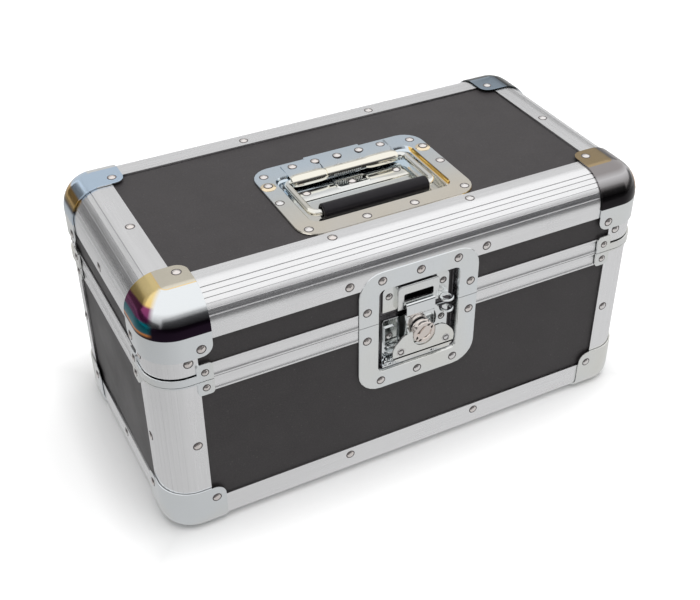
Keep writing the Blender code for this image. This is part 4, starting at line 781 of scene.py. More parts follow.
def make_cap_plate():
    """Bright plate of the corner caps, with painted reflections on their rounds and flat tops: coloured
    bands, dark belts, a glint line and a rim reflection.
    """
    colours = finish_colours()
    surface, tree, shader, place = new_surface("cap_plate", 0.1, 1.0)
    tint = use_group(tree, GROUPS["tint"], place, Cool=colours.zinc, Warm=colours.zinc_warm,
                     Depth=0.25)["Color"]
    marks = use_group(tree, GROUPS["marks"], place, Size=30.0)
    fore = add_depth(tree, place, "Y", MM, -MM)
    east = add_depth(tree, place, "X", -MM, MM)
    west = add_depth(tree, place, "X", MM, -MM)
    down = add_depth(tree, place, "Z", TOP, TOP - PAINTED_REFLECTION_DROP)
    upper = add_depth(tree, place, "Z", TOP - PAINTED_REFLECTION_DROP - 0.3 * MM, TOP - PAINTED_REFLECTION_DROP)
    crown = add_depth(tree, place, "Z", TOP + CAP_PROUD - CROWN_START, TOP + CAP_PROUD - CROWN_END)

    # Rounds: painted reflection bands at the left, a painted dark reflection belt where the left caps face
    # forwards, darker painted reflections and a painted rim reflection at the right
    wave = add_range(tree, add_noise(tree, place, 18.0, 1.0, 0.4), 0.3, 0.7, -0.05, 0.05)
    on_left = add_mix(tree, fore, add_ramp(tree, down, PAINTED_REFLECTIONS_BACK_LEFT),
                      add_ramp(tree, add_math(tree, "ADD", down, wave), PAINTED_REFLECTIONS_FRONT_LEFT))
    on_right = add_mix(tree, fore, add_ramp(tree, down, PAINTED_REFLECTIONS_BACK_RIGHT), add_ramp(tree, down, PAINTED_REFLECTIONS_FRONT_RIGHT))
    rim = add_product(tree, add_depth(tree, place, "X", RIGHT - 7.0 * MM, RIGHT - 4.0 * MM), fore)
    on_right = add_mix(tree, add_product(tree, rim, 0.9), on_right, CAP_RIM_REFLECTION)
    belted = add_mix(tree, add_product(tree, fore, add_range(tree, down, 0.24, 0.62)), tint, CAP_DARK_REFLECTION)
    spot = add_axes(tree, place)
    turned = add_range(tree, add_math(tree, "SUBTRACT", spot["Y"], spot["X"]), FRONT - LEFT + 1.0 * MM,
                       FRONT - LEFT + 7.0 * MM)
    reflection_side = add_depth(tree, place, "X", LEFT + PAINTED_REFLECTION_IN, LEFT + PAINTED_REFLECTION_IN - PAINTED_REFLECTION_SOFT)
    rounds = add_mix(tree, add_product(tree, reflection_side, turned), belted, on_left)
    rounds = add_mix(tree, east, rounds, on_right)

    # Flat tops in painted reflection colours, with a painted glint line round the front left one
    flats = add_mix(tree, east, add_mix(tree, fore, CAP_FLAT_REFLECTIONS["back_left"], CAP_FLAT_REFLECTIONS["front_left"]),
                    add_mix(tree, fore, CAP_FLAT_REFLECTIONS["back_right"], CAP_FLAT_REFLECTIONS["front_right"]))
    line = add_product(tree, add_range(tree, crown, 0.5, 1.0, 1.0, 0.0), add_product(tree, fore, west))
    topped = add_mix(tree, add_range(tree, crown, 0.0, 0.5), flats, add_mix(tree, line, rounds, CAP_GLINT_LINE))
    wire(tree, (add_mix(tree, upper, tint, topped), shader.inputs["Base Color"]),
         (add_range(tree, marks["Smudge"], 0.0, 1.0, 0.14, 0.22), shader.inputs["Roughness"]))
    add_bump(tree, shader, marks["Specks"], 0.04, SPECK_DISTANCE)
    return surface


def make_zinc(name, depth, rough, well=None, lean=False, base=None, painted_tone=(0.10, 0.095, 0.10)):
    """Bright zinc plate with slow bands of tint, a painted tone across a span (painted shade down the latch's
    well, a painted highlight on the hood's lobes), or leaning from pale blue to cream.
    """
    colours = finish_colours()
    surface, tree, shader, place = new_surface(name, rough, 1.0)
    tint = use_group(tree, GROUPS["tint"], place, Cool=base or colours.zinc, Warm=colours.zinc_warm,
                     Depth=depth)
    marks = use_group(tree, GROUPS["marks"], place, Size=30.0)
    plated = add_mix(tree, add_product(tree, marks["Scratches"], 0.25), tint["Color"], SCRATCH)
    if lean:
        leaned = add_mix(tree, add_depth(tree, place, "Y", 20.0 * MM, -62.0 * MM), LEAN_COOL, LEAN_WARM)
        plated = add_mix(tree, 0.65, plated, leaned)
        # A painted reflection line along the top of the recess's right wall
        wall = HANDLE_X + RECESS_HALF
        line = add_product(tree, add_depth(tree, place, "X", wall - 2.4 * MM, wall - 1.8 * MM),
                           add_depth(tree, place, "Z", TOP + 1.35 * MM, TOP + 1.1 * MM))
        plated = add_mix(tree, line, plated, RECESS_REFLECTION_LINE)
    # The span given gets a painted tone: painted shade down the latch's well, a painted highlight on the
    # hood's lobes
    if well:
        plated = add_mix(tree, add_depth(tree, place, *well), plated, painted_tone)
    wire(tree, (plated, shader.inputs["Base Color"]),
         (add_range(tree, marks["Smudge"], 0.0, 1.0, rough * 0.75, rough * 1.35), shader.inputs["Roughness"]))
    add_bump(tree, shader, marks["Specks"], 0.04, SPECK_DISTANCE)
    return surface


def make_rivet_plate():
    """Bright rivet heads, darkened by painted shade round each foot and a painted dark reflection on upright
    heads' upper sides.
    """
    colours = finish_colours()
    surface, tree, shader, place = new_surface("rivet_plate", 0.16, 1.0)
    tint = use_group(tree, GROUPS["tint"], place, Cool=colours.rivet, Warm=colours.zinc, Depth=0.6)
    ring = add_range(tree, add_attribute(tree, "grime"), 0.35, 0.9)
    wire(tree, (add_mix(tree, ring, tint["Color"], RIVET_PAINTED_DARK), shader.inputs["Base Color"]),
         (add_range(tree, ring, 0.0, 1.0, 0.16, 0.6), shader.inputs["Roughness"]),
         (add_math(tree, "SUBTRACT", 1.0, ring), shader.inputs["Metallic"]))
    return surface


def make_laminate():
    """Dark laminate of the panels."""
    colour = Vector(finish_colours().laminate)
    surface, tree, shader, place = new_surface("laminate", 0.42, 0.0)
    grain = use_group(tree, GROUPS["laminate"], place)
    marks = use_group(tree, GROUPS["marks"], place, Size=16.0)
    clouded = add_mix(tree, grain["Cloud"], colour * 0.9, colour * 1.1)
    grained = add_mix(tree, add_range(tree, grain["Height"], 0.4, 0.65, 0.0, 0.4), clouded, colour * 1.7)
    dusty = add_mix(tree, add_product(tree, marks["Specks"], 0.25), grained, DUST)
    wire(tree, (dusty, shader.inputs["Base Color"]),
         (add_range(tree, marks["Smudge"], 0.0, 1.0, 0.38, 0.5), shader.inputs["Roughness"]))
    shader.inputs["Specular IOR Level"].default_value = 0.3
    add_bump(tree, shader, grain["Height"], 0.25, 0.00008)
    return surface


def make_dull(name, colour, roughness, scale, strength):
    """Rubber or foam: a dull colour with its own fine grain."""
    colour = Vector(colour)
    surface, tree, shader, place = new_surface(name, roughness, 0.0)
    grain = use_group(tree, GROUPS["laminate"], place, Pebble=scale)
    wire(tree, (add_mix(tree, grain["Cloud"], colour * 0.8, colour * 1.3), shader.inputs["Base Color"]),
         (add_range(tree, grain["Cloud"], 0.0, 1.0, roughness - 0.08, roughness + 0.05),
          shader.inputs["Roughness"]))
    shader.inputs["Specular IOR Level"].default_value = 0.25
    add_bump(tree, shader, grain["Height"], strength, 0.0002)
    return surface


def make_finishes():
    """Build every group and material once."""
    colours = finish_colours()
    GROUPS.update(grain=make_drawn_grain(), marks=make_handling_marks(), tint=make_plating_tint(),
                  laminate=make_laminate_grain())
    for along in GRAIN_ALONG:
        SURFACES["aluminium_" + along] = make_aluminium(along)
    pivot = MIDDLE_Y + PIVOT_Y
    SURFACES.update(
        zinc=make_zinc("zinc", 0.45, 0.22),
        chrome=make_zinc("chrome_plate", 0.45, 0.10),
        cap=make_cap_plate(),
        # Painted shade darkens the latch's well further in
        latch_well=make_zinc("latch_well", 0.2, 0.2, ("Y", FRONT - 1.3 * MM, FRONT + 0.6 * MM)),
        handle_well=make_zinc("handle_well", 0.5, 0.13, lean=True),
        # The hood's lobes get a painted warm highlight
        hood=make_zinc("hood_plate", 0.5, 0.10, ("Y", pivot + 4.2 * MM, pivot + 1.6 * MM), lean=True,
                       painted_tone=(0.93, 0.90, 0.80)),
        washer=make_zinc("washer_plate", 0.5, 0.10, base=(0.94, 0.78, 0.56)),
        rivet=make_rivet_plate(),
        latch=make_zinc("latch_plate", 0.25, 0.22),
        knob=make_zinc("knob_plate", 0.2, 0.16, base=(0.80, 0.73, 0.71)),
        bright=make_zinc("bright_plate", 0.08, 0.07),
        steel=make_zinc("steel", 0.2, 0.28),
        laminate=make_laminate(),
        rubber=make_dull("rubber", colours.rubber, 0.4, 1400.0, 0.3),
        foam=make_dull("foam", colours.foam, 0.92, 700.0, 0.8),
    )


# Trim

def each_corner():
    """Name, corner point and inward directions of the four upright corners."""
    for side, y, y_in in SIDES:
        for end, x, x_in in ENDS:
            yield side + "_" + end, x, y, x_in, y_in


def each_run(level, up, half_x, half_y):
    """Side, place, half length and finish of the four lengths of trim round the case at a level."""
    for side, plane, inward in SIDES:
        place = axes((0, plane, level), (0, inward, 0), (0, 0, up), (1, 0, 0))
        yield side, place, half_x, "aluminium_x"
    for end, plane, inward in ENDS:
        place = axes((plane, MIDDLE_Y, level), (inward, 0, 0), (0, 0, up), (0, 1, 0))
        yield end, place, half_y, "aluminium_y"


def corner_place(corner, proud, level, up):
    """A place at an upright corner, proud of both faces, whose local x and y point inwards."""
    _, x, y, x_in, y_in = corner
    return axes((x - x_in * proud, y - y_in * proud, level), (x_in, 0, 0), (0, y_in, 0), (0, 0, up))


def add_angle_sheet(bm, arm, radius, length, steps):
    """Edge sheet in local x and y along local z: a flat arm, the rounded turn and the other arm."""
    centre = radius - PROUD
    ends = [bm.verts.new((arm, -PROUD, sign * length / 2)) for sign in (-1, 1)]
    edges = draw_out(bm, [bm.edges.new(ends)], (centre - arm, 0, 0))
    edges = turn_out(bm, edges, (centre, centre, 0), UP, -math.pi / 2, steps)
    draw_out(bm, edges, (0, arm - centre, 0))
    face_out(bm, (-1, -1, 0))


def press_flutes(bm, radius, depth):
    """Press the fine grooves into the turn of an edge sheet: each is cut along both sides and its middle."""
    sizes = trim()
    half = sizes.flute_width / radius / 2
    groove = bm.verts.layers.float.new("groove")
    for step in FLUTE_STEPS:
        turn = math.pi / 4 + step * sizes.flute_pitch / radius
        for cut in (turn - half, turn + half, turn):
            bottom = cut_through(bm, (radius - PROUD, radius - PROUD, 0), (-math.cos(cut), math.sin(cut), 0))
        bmesh.ops.translate(bm, vec=Vector((math.sin(turn), math.cos(turn), 0)) * depth, verts=bottom)
        # The groove bottoms carry their depth, which the aluminium uses for painted shade
        for vert in bottom:
            vert[groove] = depth / sizes.flute_depth


def make_angle(name, place, arm, radius, length, steps, body, surface, flute=0.0):
    """One edge or post, which stands for the CAD node of the same name."""
    bm = bmesh.new()
    add_angle_sheet(bm, arm, radius, length, steps)
    if flute:
        press_flutes(bm, radius, flute)
    outward = place.to_3x3() @ Vector((-1, -1, 0))
    thicken(make_piece(name + "_sheet", bm, body, surface, (name,), 24.0, outward, place), SHEET)


def make_edge_set(prefix, level, way, arm, radius, steps, body, flute=0.0):
    """Four edges round the top or the bottom; way points into the case."""
    half_x = (RIGHT - LEFT) / 2 - trim().corner_radius + PROUD - GAP
    half_y = (BACK - FRONT) / 2 - arm - GAP
    for side, place, half, surface in each_run(level, way, half_x, half_y):
        make_angle(prefix + "_" + side, place, arm, radius, 2 * half, steps, body, surface, flute)


def make_post_set(prefix, low, high, body):
    """Four corner posts."""
    for corner in each_corner():
        make_angle(prefix + "_" + corner[0], corner_place(corner, 0, (low + high) / 2, 1), POST_ARM,
                   trim().corner_radius, high - low, TURN_STEPS, body, "aluminium_z",
                   POST_FLUTE * trim().flute_depth)


def make_brackets(prefix, band, height, way, body):
    """Four rim brackets: a low band round the corner with a riveted tab at each end."""
    radius = BRACKET_PROUD - PROUD + trim().corner_radius
    arm = BRACKET_ARM + BRACKET_PROUD
    for corner in each_corner():
        bm = bmesh.new()
        edges = [bm.edges.new([bm.verts.new((arm, 0, z)) for z in (0.0, band)])]
        for step in (-BRACKET_TAB, radius + BRACKET_TAB - arm):
            edges = draw_out(bm, edges, (step, 0, 0))
        edges = turn_out(bm, edges, (radius, radius, 0), UP, -math.pi / 2, 12)
        for step in (arm - BRACKET_TAB - radius, BRACKET_TAB):
            edges = draw_out(bm, edges, (0, step, 0))
        merge(bm)
        tabs = [edge for edge in bm.edges if all(abs(vert.co.z - band) < WELD for vert in edge.verts)
                and max(max(vert.co.xy) for vert in edge.verts) > arm - WELD]
        draw_out(bm, tabs, (0, 0, height - band))
        merge(bm)
        tips = [vert for vert in bm.verts if abs(vert.co.z - height) < WELD]
        round_corners(bm, tips, BRACKET_TAB_RADIUS, 4)
        name, _, _, x_in, y_in = corner
        place = corner_place(corner, BRACKET_PROUD, SPLIT + way * HALF_SPLIT, way)
        piece = make_piece(prefix + "_bracket_" + name, bm, body, "zinc", (prefix + "_post_" + name,),
                           outward=(-x_in, -y_in, 0), place=place)
        soften(thicken(piece, BRACKET_SHEET))


def make_cap_set(prefix, level, way, arm, rise, end_radius, body):
    """Four pressed corner caps; way points out of the case's end."""
    arm += CAP_PROUD
    rise += CAP_PROUD
    radius = trim().corner_radius + CAP_PROUD - PROUD
    turns = [math.pi / 2 * step / CAP_STEPS for step in range(CAP_STEPS + 1)]
    levels = [(0.0, rise)] + [(end_radius * (1 - math.cos(turn)), end_radius * (1 - math.sin(turn)))
                              for turn in turns]
    for corner in each_corner():
        bm = bmesh.new()
        add_dish(bm, [(grown((0, 0), (2 * arm, 2 * arm), inset, radius), height)
                      for inset, height in levels], 14)
        cut_through(bm, (arm, 0, 0), (1, 0, 0), True)
        cut_through(bm, (0, arm, 0), (0, 1, 0), True)
        merge(bm)
        far = Vector((arm - WELD, arm - WELD, rise - WELD))
        tabs = [vert for vert in bm.verts if sum(a > b for a, b in zip(vert.co, far)) == 2]
        round_corners(bm, tabs, CAP_TAB_RADIUS, 8)
        name, _, _, x_in, y_in = corner
        name = prefix + "_" + name
        piece = make_piece(name + "_sheet", bm, body, "cap", (name,), 50.0, (-x_in, -y_in, way),
                           corner_place(corner, CAP_PROUD, level + way * CAP_PROUD, -way))
        soften(thicken(piece, CAP_SHEET), CAP_ROUND)


# Rims, hinges and rivets

def make_rim_set(prefix, section, body):
    """Four beaded rims between the posts; the front one stops at the latch but for its inner leaf."""
    corners = metres([(u, h, 0) for u, h in section])
    inner, outer = mm(*RIM_LEAF)
    leaf = [h for u, h, _ in corners if u > inner - WELD]
    half_x = (RIGHT - LEFT) / 2 - POST_ARM - GAP
    half_y = (BACK - FRONT) / 2 - POST_ARM - GAP
    notch = LATCH_HALF + GAP
    for side, place, half, surface in each_run(SPLIT, 1, half_x, half_y):
        bm = bmesh.new()
        if side == "front":
            add_bar(bm, corners, -half, LATCH_X - notch, place)
            add_bar(bm, corners, LATCH_X + notch, half, place)
            add_bar(bm, box_corners((inner, min(leaf)), (outer, max(leaf)), 0), LATCH_X - notch - WELD,
                    LATCH_X + notch + WELD, place)
        else:
            add_bar(bm, corners, -half, half, place)
        name = prefix + "_" + side
        soften(make_piece(name + "_bar", bm, body, surface, (name,)))


def add_rivet(bm, point, out, radius, rise):
    """One domed rivet head, with painted shade at its foot and a painted dark reflection on its upper side
    where it sits upright.
    """
    profile = [(share * radius, height * rise) for share, height in RIVET_DOME]
    grime = bm.verts.layers.float.get("grime") or bm.verts.layers.float.new("grime")
    for vert in add_turned(bm, profile, facing(point, out), 14):
        away = vert.co - Vector(point)
        flat = away - Vector(out) * away.dot(Vector(out))
        # Painted shade round the foot; upright heads also get a painted dark reflection on their upper side
        vert[grime] = 1.0 if flat.length > RIVET_RIM * radius else 0.0
        if abs(out[2]) < 0.5 and RIVET_DARK_REFLECTION_FROM * radius < flat.length < RIVET_RIM * radius:
            vert[grime] = max(0.0, min(0.85, 2.4 * flat.normalized().dot(Vector(RIVET_DARK_REFLECTION_SIDE)) - 0.9))


def make_rivets(name, spots, body, radius=None):
    """A set of rivet heads on one body: (point, outward direction) spots."""
    bm = bmesh.new()
    for point, out in spots:
        add_rivet(bm, point, out, radius or trim().rivet_radius, trim().rivet_rise)
    make_piece(name, bm, body, "rivet", (), 60.0)


def edge_spots(level, way, inset, crown):
    """Rivets of four edges: on the upright faces, and on the flat top where there is one."""
    spots = []
    for _, y, y_in in SIDES:
        for x in (-EDGE_RIVET_X, EDGE_RIVET_X):
            spots.append(((x, y - y_in * PROUD, level + way * inset), (0, -y_in, 0)))
            if crown:
                spots.append(((x, y + y_in * inset, level - way * PROUD), (0, 0, -way)))
    for _, x, x_in in ENDS:
        spots.append(((x - x_in * PROUD, MIDDLE_Y, level + way * inset), (-x_in, 0, 0)))
        if crown:
            spots.append(((x + x_in * inset, MIDDLE_Y, level - way * PROUD), (0, 0, -way)))
    return spots


def corner_spots(inset, proud, level):
    """Rivets beside the upright corners, one on each of the two faces."""
    spots = []
    for _, x, y, x_in, y_in in each_corner():
        spots.append(((x + x_in * inset, y - y_in * proud, level), (0, -y_in, 0)))
        spots.append(((x - x_in * proud, y + y_in * inset, level), (-x_in, 0, 0)))
    return spots


def make_hinge_leaf(name, centre, way, band, reach, knuckles, body):
    """One hinge leaf with its stop lip, knuckles and rivets, behind the back rims."""
    near = band + GAP
    back = BACK + RIM_PROUD + GAP
    outer = back + HINGE_SHEET
    low = back - RIM_PROUD
    face = low + HINGE_SHEET
    half = HINGE_LENGTH / 2
    section = [(back, HINGE_CLEAR), (back, near), (low, near + RIM_PROUD), (low, HINGE_LEAF),
               (face, HINGE_LEAF), (face, near + RIM_PROUD), (outer, near), (outer, STOP_SHELF),
               (HINGE_Y + reach, STOP_SHELF), (HINGE_Y + reach, STOP_RISE), (outer, STOP_RISE),
               (outer, HINGE_CLEAR)]
    place = axes((centre, 0, SPLIT), (0, 1, 0), (0, 0, way), (1, 0, 0))
    barrel = facing((centre, HINGE_Y, SPLIT), (1, 0, 0))
    bm = bmesh.new()
    add_bar(bm, [(y, h, 0) for y, h in section], -half, half, place)
    for start, end in knuckles:
        add_bar(bm, box_corners((back, 0.0), (outer, HINGE_CLEAR + WELD), 0), start, end, place)
        add_turned(bm, [(PIN_RADIUS + GAP, start), (KNUCKLE_RADIUS, start), (KNUCKLE_RADIUS, end),
                        (PIN_RADIUS + GAP, end), (PIN_RADIUS + GAP, start)], barrel, 32)
    if way < 0:
        end = half - WELD
        add_turned(bm, [(0, -end), (PIN_RADIUS, -end), (PIN_RADIUS, end), (0, end)], barrel, 20)
    soften(make_piece(name + "_form", bm, body, "steel", (name,), 30.0))
    spots = [((centre + step * HINGE_RIVET_X, y, SPLIT + way * h), (0, 1, 0)) for step in (-1, 0, 1)
             for y, h in ((outer, HINGE_RIVET_NEAR), (face, HINGE_RIVET_FAR))]
    make_rivets(name + "_rivets", spots, body, trim().small_rivet_radius)


def make_hinges():
    """Two stop hinges on the back."""
    half = HINGE_LENGTH / 2
    outer = ((-half, KNUCKLE_LENGTH - half), (half - KNUCKLE_LENGTH, half))
    middle = ((KNUCKLE_LENGTH + KNUCKLE_GAP - half, half - KNUCKLE_LENGTH - KNUCKLE_GAP),)
    for end, sign in (("left", -1), ("right", 1)):
        make_hinge_leaf("hinge_base_leaf_" + end, sign * HINGE_X, -1, BASE_BAND, STOP_SHELF, outer, "base")
        make_hinge_leaf("hinge_lid_leaf_" + end, sign * HINGE_X, 1, LID_BAND, STOP_REACH, middle, "lid")


# Handle

def handle_place():
    """The handle's own place: its middle on the top plane."""
    return Matrix.Translation((HANDLE_X, MIDDLE_Y, TOP))


def handle_pivot():
    """The place of the handle's pivot."""
    return handle_place() @ Matrix.Translation((0, PIVOT_Y, PIVOT_Z))


def make_handle_dish():
    """Pressed dish of the handle, with its stepped wall."""
    bm = bmesh.new()
    low, high = (-HANDLE_HALF, HANDLE_FRONT), (HANDLE_HALF, HANDLE_BACK)
    inner_low, inner_high = (-RECESS_HALF, RECESS_FRONT), (RECESS_HALF, RECESS_BACK)
    outlines = [(grown(low, high, 0, HANDLE_CORNER), GAP + HANDLE_SHEET / 3),
                (grown(low, high, 0.4 * MM, HANDLE_CORNER), HANDLE_FACE)]
    outlines += [(grown(inner_low, inner_high, inset, 9.0 * MM), level)
                 for inset, level in metres(HANDLE_WALL)]
    loops = add_dish(bm, outlines)
    round_edges(bm, loops[4], 0.5 * MM)
    round_edges(bm, loops[5], 0.8 * MM)
    thicken(make_piece("handle_dish_pressing", bm, "lid", "handle_well", ("handle_dish",), 50.0, UP,
                       handle_place()), HANDLE_SHEET * 0.9)


def make_handle_lip():
    """Middle of the flange's back edge, a little further back than its ends, and its two tabs."""
    bm = bmesh.new()
    for left, right, near, far, rounding, rise in metres(HANDLE_LIP):
        add_bar(bm, box_corners((left, HANDLE_BACK + near), (right, HANDLE_BACK + far), rounding), GAP,
                HANDLE_FACE + rise)
    soften(make_piece("handle_back_lip", bm, "lid", "handle_well", ("handle_dish",), place=handle_place()))


def make_handle_hood():
    """Hood over the rod's ends: a riveted strip, and two domed lobes with a lower bridge between."""
    flat = math.asin(HOOD_TOP / HOOD_ROLL)
    front = HOOD_ROLL * math.cos(flat)
    for name, start, end, size, sweep in HOOD_SPANS:
        bm = bmesh.new()
        stops = [start + step for step in HOOD_ENDS] + [end - step for step in reversed(HOOD_ENDS)]
        swell = HOOD_RISES + HOOD_RISES[::-1] if size == 1.0 else (size,) * len(stops)
        back = bm.verts.new((stops[0] * MM, HOOD_BACK, HOOD_TOP))
        bend = bm.verts.new((stops[0] * MM, front, HOOD_TOP))
        bm.edges.new((back, bend))
        bmesh.ops.spin(bm, geom=[bend], cent=(stops[0] * MM, 0, 0), axis=(1, 0, 0),
                       angle=math.radians(sweep) - flat, steps=14)
        rows = [list(bm.edges)]
        for first, second in zip(stops, stops[1:]):
            rows.append(draw_out(bm, rows[-1], ((second - first) * MM, 0, 0)))
        for row, scale in zip(rows, swell):
            rolled = [vert for vert in parts_of(row, "verts") if vert.co.y < front + WELD]
            bmesh.ops.scale(bm, vec=(1, scale, scale), verts=rolled)
        thicken(make_piece("handle_hood_" + name, bm, "lid", "hood", ("handle_dish",), 50.0, UP,
                           handle_pivot()), 0.9 * MM)


def make_handle_strap():
    """Strap on the recess floor with the seat of the spring in its middle."""
    bm = bmesh.new()
    floor = RECESS_FLOOR + 0.05 * MM
    for (half, front, back, corner), steps, rounded, width in STRAP_FORMS:
        low, high = (-half * MM, PIVOT_Y + front * MM), (half * MM, PIVOT_Y + back * MM)
        loops = add_dish(bm, [(grown(low, high, inset, corner * MM), floor + rise)
                              for inset, rise in metres(steps)])
        round_edges(bm, loops[rounded], width * MM)
    thicken(make_piece("handle_strap", bm, "lid", "chrome", ("handle_dish",), 50.0, UP,
                       handle_place()), 0.3 * MM)


def add_rod(bm, radius, start, moves, sides=16):
    """A bent rod from a start point: each move is a straight step or a (centre, turn) bend in the plane."""
    _, edges = add_ring(bm, sides, radius, facing(start, moves[0]))
    for move in moves:
        if isinstance(move, Vector):
            edges = draw_out(bm, edges, move)
        else:
            edges = turn_out(bm, edges, move[0], UP, move[1], 8)
    bmesh.ops.edgeloop_fill(bm, edges=edges)


def make_bail():
    """Bent rod of the handle, and its grip."""
    back, front = BAIL_ARM_X - BAIL_BACK_BEND, BAIL_ARM_X - BAIL_FRONT_BEND
    reach = BAIL_REACH - BAIL_FRONT_BEND
    quarter = -math.pi / 2
    end = Vector((back - BAIL_END_X, 0, 0))
    moves = [end, ((back, -BAIL_BACK_BEND, 0), quarter), Vector((0, BAIL_BACK_BEND - reach, 0)),
             ((front, -reach, 0), quarter), Vector((-2 * front, 0, 0)), ((-front, -reach, 0), quarter),
             Vector((0, reach - BAIL_BACK_BEND, 0)), ((-back, -BAIL_BACK_BEND, 0), quarter), end]
    bm = bmesh.new()
    add_rod(bm, BAIL_ROD, (BAIL_END_X, 0, 0), moves)
    make_piece("handle_bail_rod", bm, "handle", "chrome", ("handle_bail",), 50.0, place=handle_pivot())
    bm = bmesh.new()
    mouth, edge = GRIP_BORE + 0.9 * MM, GRIP_RADIUS - 0.8 * MM
    half = [(GRIP_BORE, GRIP_HALF - 2.0 * MM), (mouth, GRIP_HALF), (edge, GRIP_HALF),
            (GRIP_RADIUS, GRIP_HALF - 0.8 * MM)]
    profile = [(radius, -height) for radius, height in half] + half[::-1]
    add_turned(bm, profile + profile[:1], handle_pivot() @ facing((0, -BAIL_REACH, 0), (1, 0, 0)), 40)
    soften(make_piece("handle_grip_sleeve", bm, "handle", "rubber", ("handle_grip",), 30.0))


def add_coil(bm, radius, thickness, pitch, turns, place):
    """A coil spring along local X."""
    before = set(bm.verts)
    ring, edges = add_ring(bm, 8, thickness, Matrix.Translation((-pitch * turns / 2, radius, 0)))
    made = bmesh.ops.spin(bm, geom=ring + edges, cent=(0, 0, 0), axis=(1, 0, 0),
                          dvec=(pitch / COIL_STEPS, 0, 0), angle=2 * math.pi * turns,
                          steps=COIL_STEPS * turns)
    bmesh.ops.edgeloop_fill(bm, edges=edges_of(made["geom_last"]))
    settle(bm, before, place)


def make_handle_spring():
    """Return spring round the rod's ends."""
    bm = bmesh.new()
    add_coil(bm, SPRING_RADIUS, SPRING_WIRE, SPRING_PITCH, SPRING_TURNS, handle_pivot())
    make_piece("handle_spring_coil", bm, "lid", "steel", ("handle_spring",), 60.0)


def make_handle_rivets():
    """Rivets and domed washers of the handle."""
    face = TOP + HANDLE_FACE

    def spot(x, y, z):
        return (HANDLE_X + x, MIDDLE_Y + y, z), UP

    row = [spot(step * HOOD_RIVET_X, HANDLE_BACK - 8.7 * MM, TOP + PIVOT_Z + HOOD_TOP)
           for step in range(-2, 3)]
    row += [spot(x * MM, PIVOT_Y - 11.5 * MM, TOP + RECESS_FLOOR + rise * MM)
            for x, rise in ((-40.3, 1.15), (40.3, 1.15), (0, 1.65))]
    middle = (HANDLE_FRONT + HANDLE_BACK) / 2
    bm = bmesh.new()
    for sign in (-1, 1):
        corner, side = sign * (HANDLE_HALF - 9.4 * MM), sign * (HANDLE_HALF - 6.2 * MM)
        point, _ = spot(side, HANDLE_BACK - 27.7 * MM, face)
        add_turned(bm, metres(WASHER), facing(point, UP), 36)
        row += [spot(corner, HANDLE_BACK - 11.7 * MM, face),
                spot(corner + sign * MM, HANDLE_FRONT + 9.8 * MM, face),
                spot(sign * 20.4 * MM, HANDLE_FRONT + 6.4 * MM, face),
                spot(side + sign * 1.6 * MM, middle, face),
                spot(side, HANDLE_BACK - 27.7 * MM, face + 1.4 * MM)]
    make_rivets("handle_rivets", row, "lid")
    make_piece("handle_washers", bm, "lid", "washer", ("handle_dish",), 60.0)


# Latch

def latch_place(*point):
    """The latch's own place on the front plane at the split, or a point there: x across, y up, z proud."""
    place = axes((LATCH_X, FRONT, SPLIT), (1, 0, 0), UP, OUT)
    return place @ Matrix.Translation(point) if point else place


def make_latch_dish(name, way, body):
    """One half of the latch's pressed dish, cut from the whole at the split."""
    bm = bmesh.new()
    plate_box = (-LATCH_HALF, -LATCH_BELOW), (LATCH_HALF, LATCH_ABOVE)
    well_box = (-LATCH_WELL_HALF, LATCH_WELL_LOW), (LATCH_WELL_HALF, LATCH_WELL_HIGH)
    outlines = [(plate_box, 0, LATCH_CORNER, GAP), (plate_box, 0, LATCH_CORNER, LATCH_FACE - 0.5 * MM),
                (plate_box, 0.5 * MM, LATCH_CORNER, LATCH_FACE),
                (well_box, -0.8 * MM, LATCH_WELL_CORNER, LATCH_FACE),
                (well_box, 0, LATCH_WELL_CORNER, LATCH_FACE - 0.8 * MM),
                (well_box, 0.6 * MM, LATCH_WELL_CORNER, LATCH_FLOOR + 1.0 * MM),
                (well_box, 1.6 * MM, LATCH_WELL_CORNER, LATCH_FLOOR)]
    add_dish(bm, [(grown(*box, step, corner), level) for box, step, corner, level in outlines])
    cut_through(bm, (0, way * HALF_SPLIT, 0), (0, -way, 0), True)
    thicken(make_piece(name + "_pressing", bm, body, "latch_well", (name,), 40.0, OUT,
                       latch_place()), 1.1 * MM)


def make_latch_rivets():
    """Rivets round the latch's dish, and on the plates inside it."""
    def spots(points, proud):
        return [(latch_place() @ Vector((x * MM, h * MM, proud)), OUT) for x, h in points]

    for body, sign, reach in (("lid", 1, 46.7), ("base", -1, 64.8)):
        points = [(x, sign * (reach - 8.0)) for x in (-32.6, 0, 32.6)]
        points += [(x, sign * 13.4) for x in (-45.0, 45.0)]
        make_rivets("latch_rivets_" + body, spots(points, LATCH_FACE), body)
    small = trim().small_rivet_radius
    make_rivets("keeper_rivets", spots(((-23.6, 17.5), (23.6, 17.5)), MOUNT_FACE), "lid", small)
    make_rivets("mount_rivets", spots(((-23.6, -19.0),), MOUNT_FACE + GUIDE_SHEET)
                + spots(((23.6, -17.0), (23.6, -28.0)), MOUNT_FACE), "base", small)


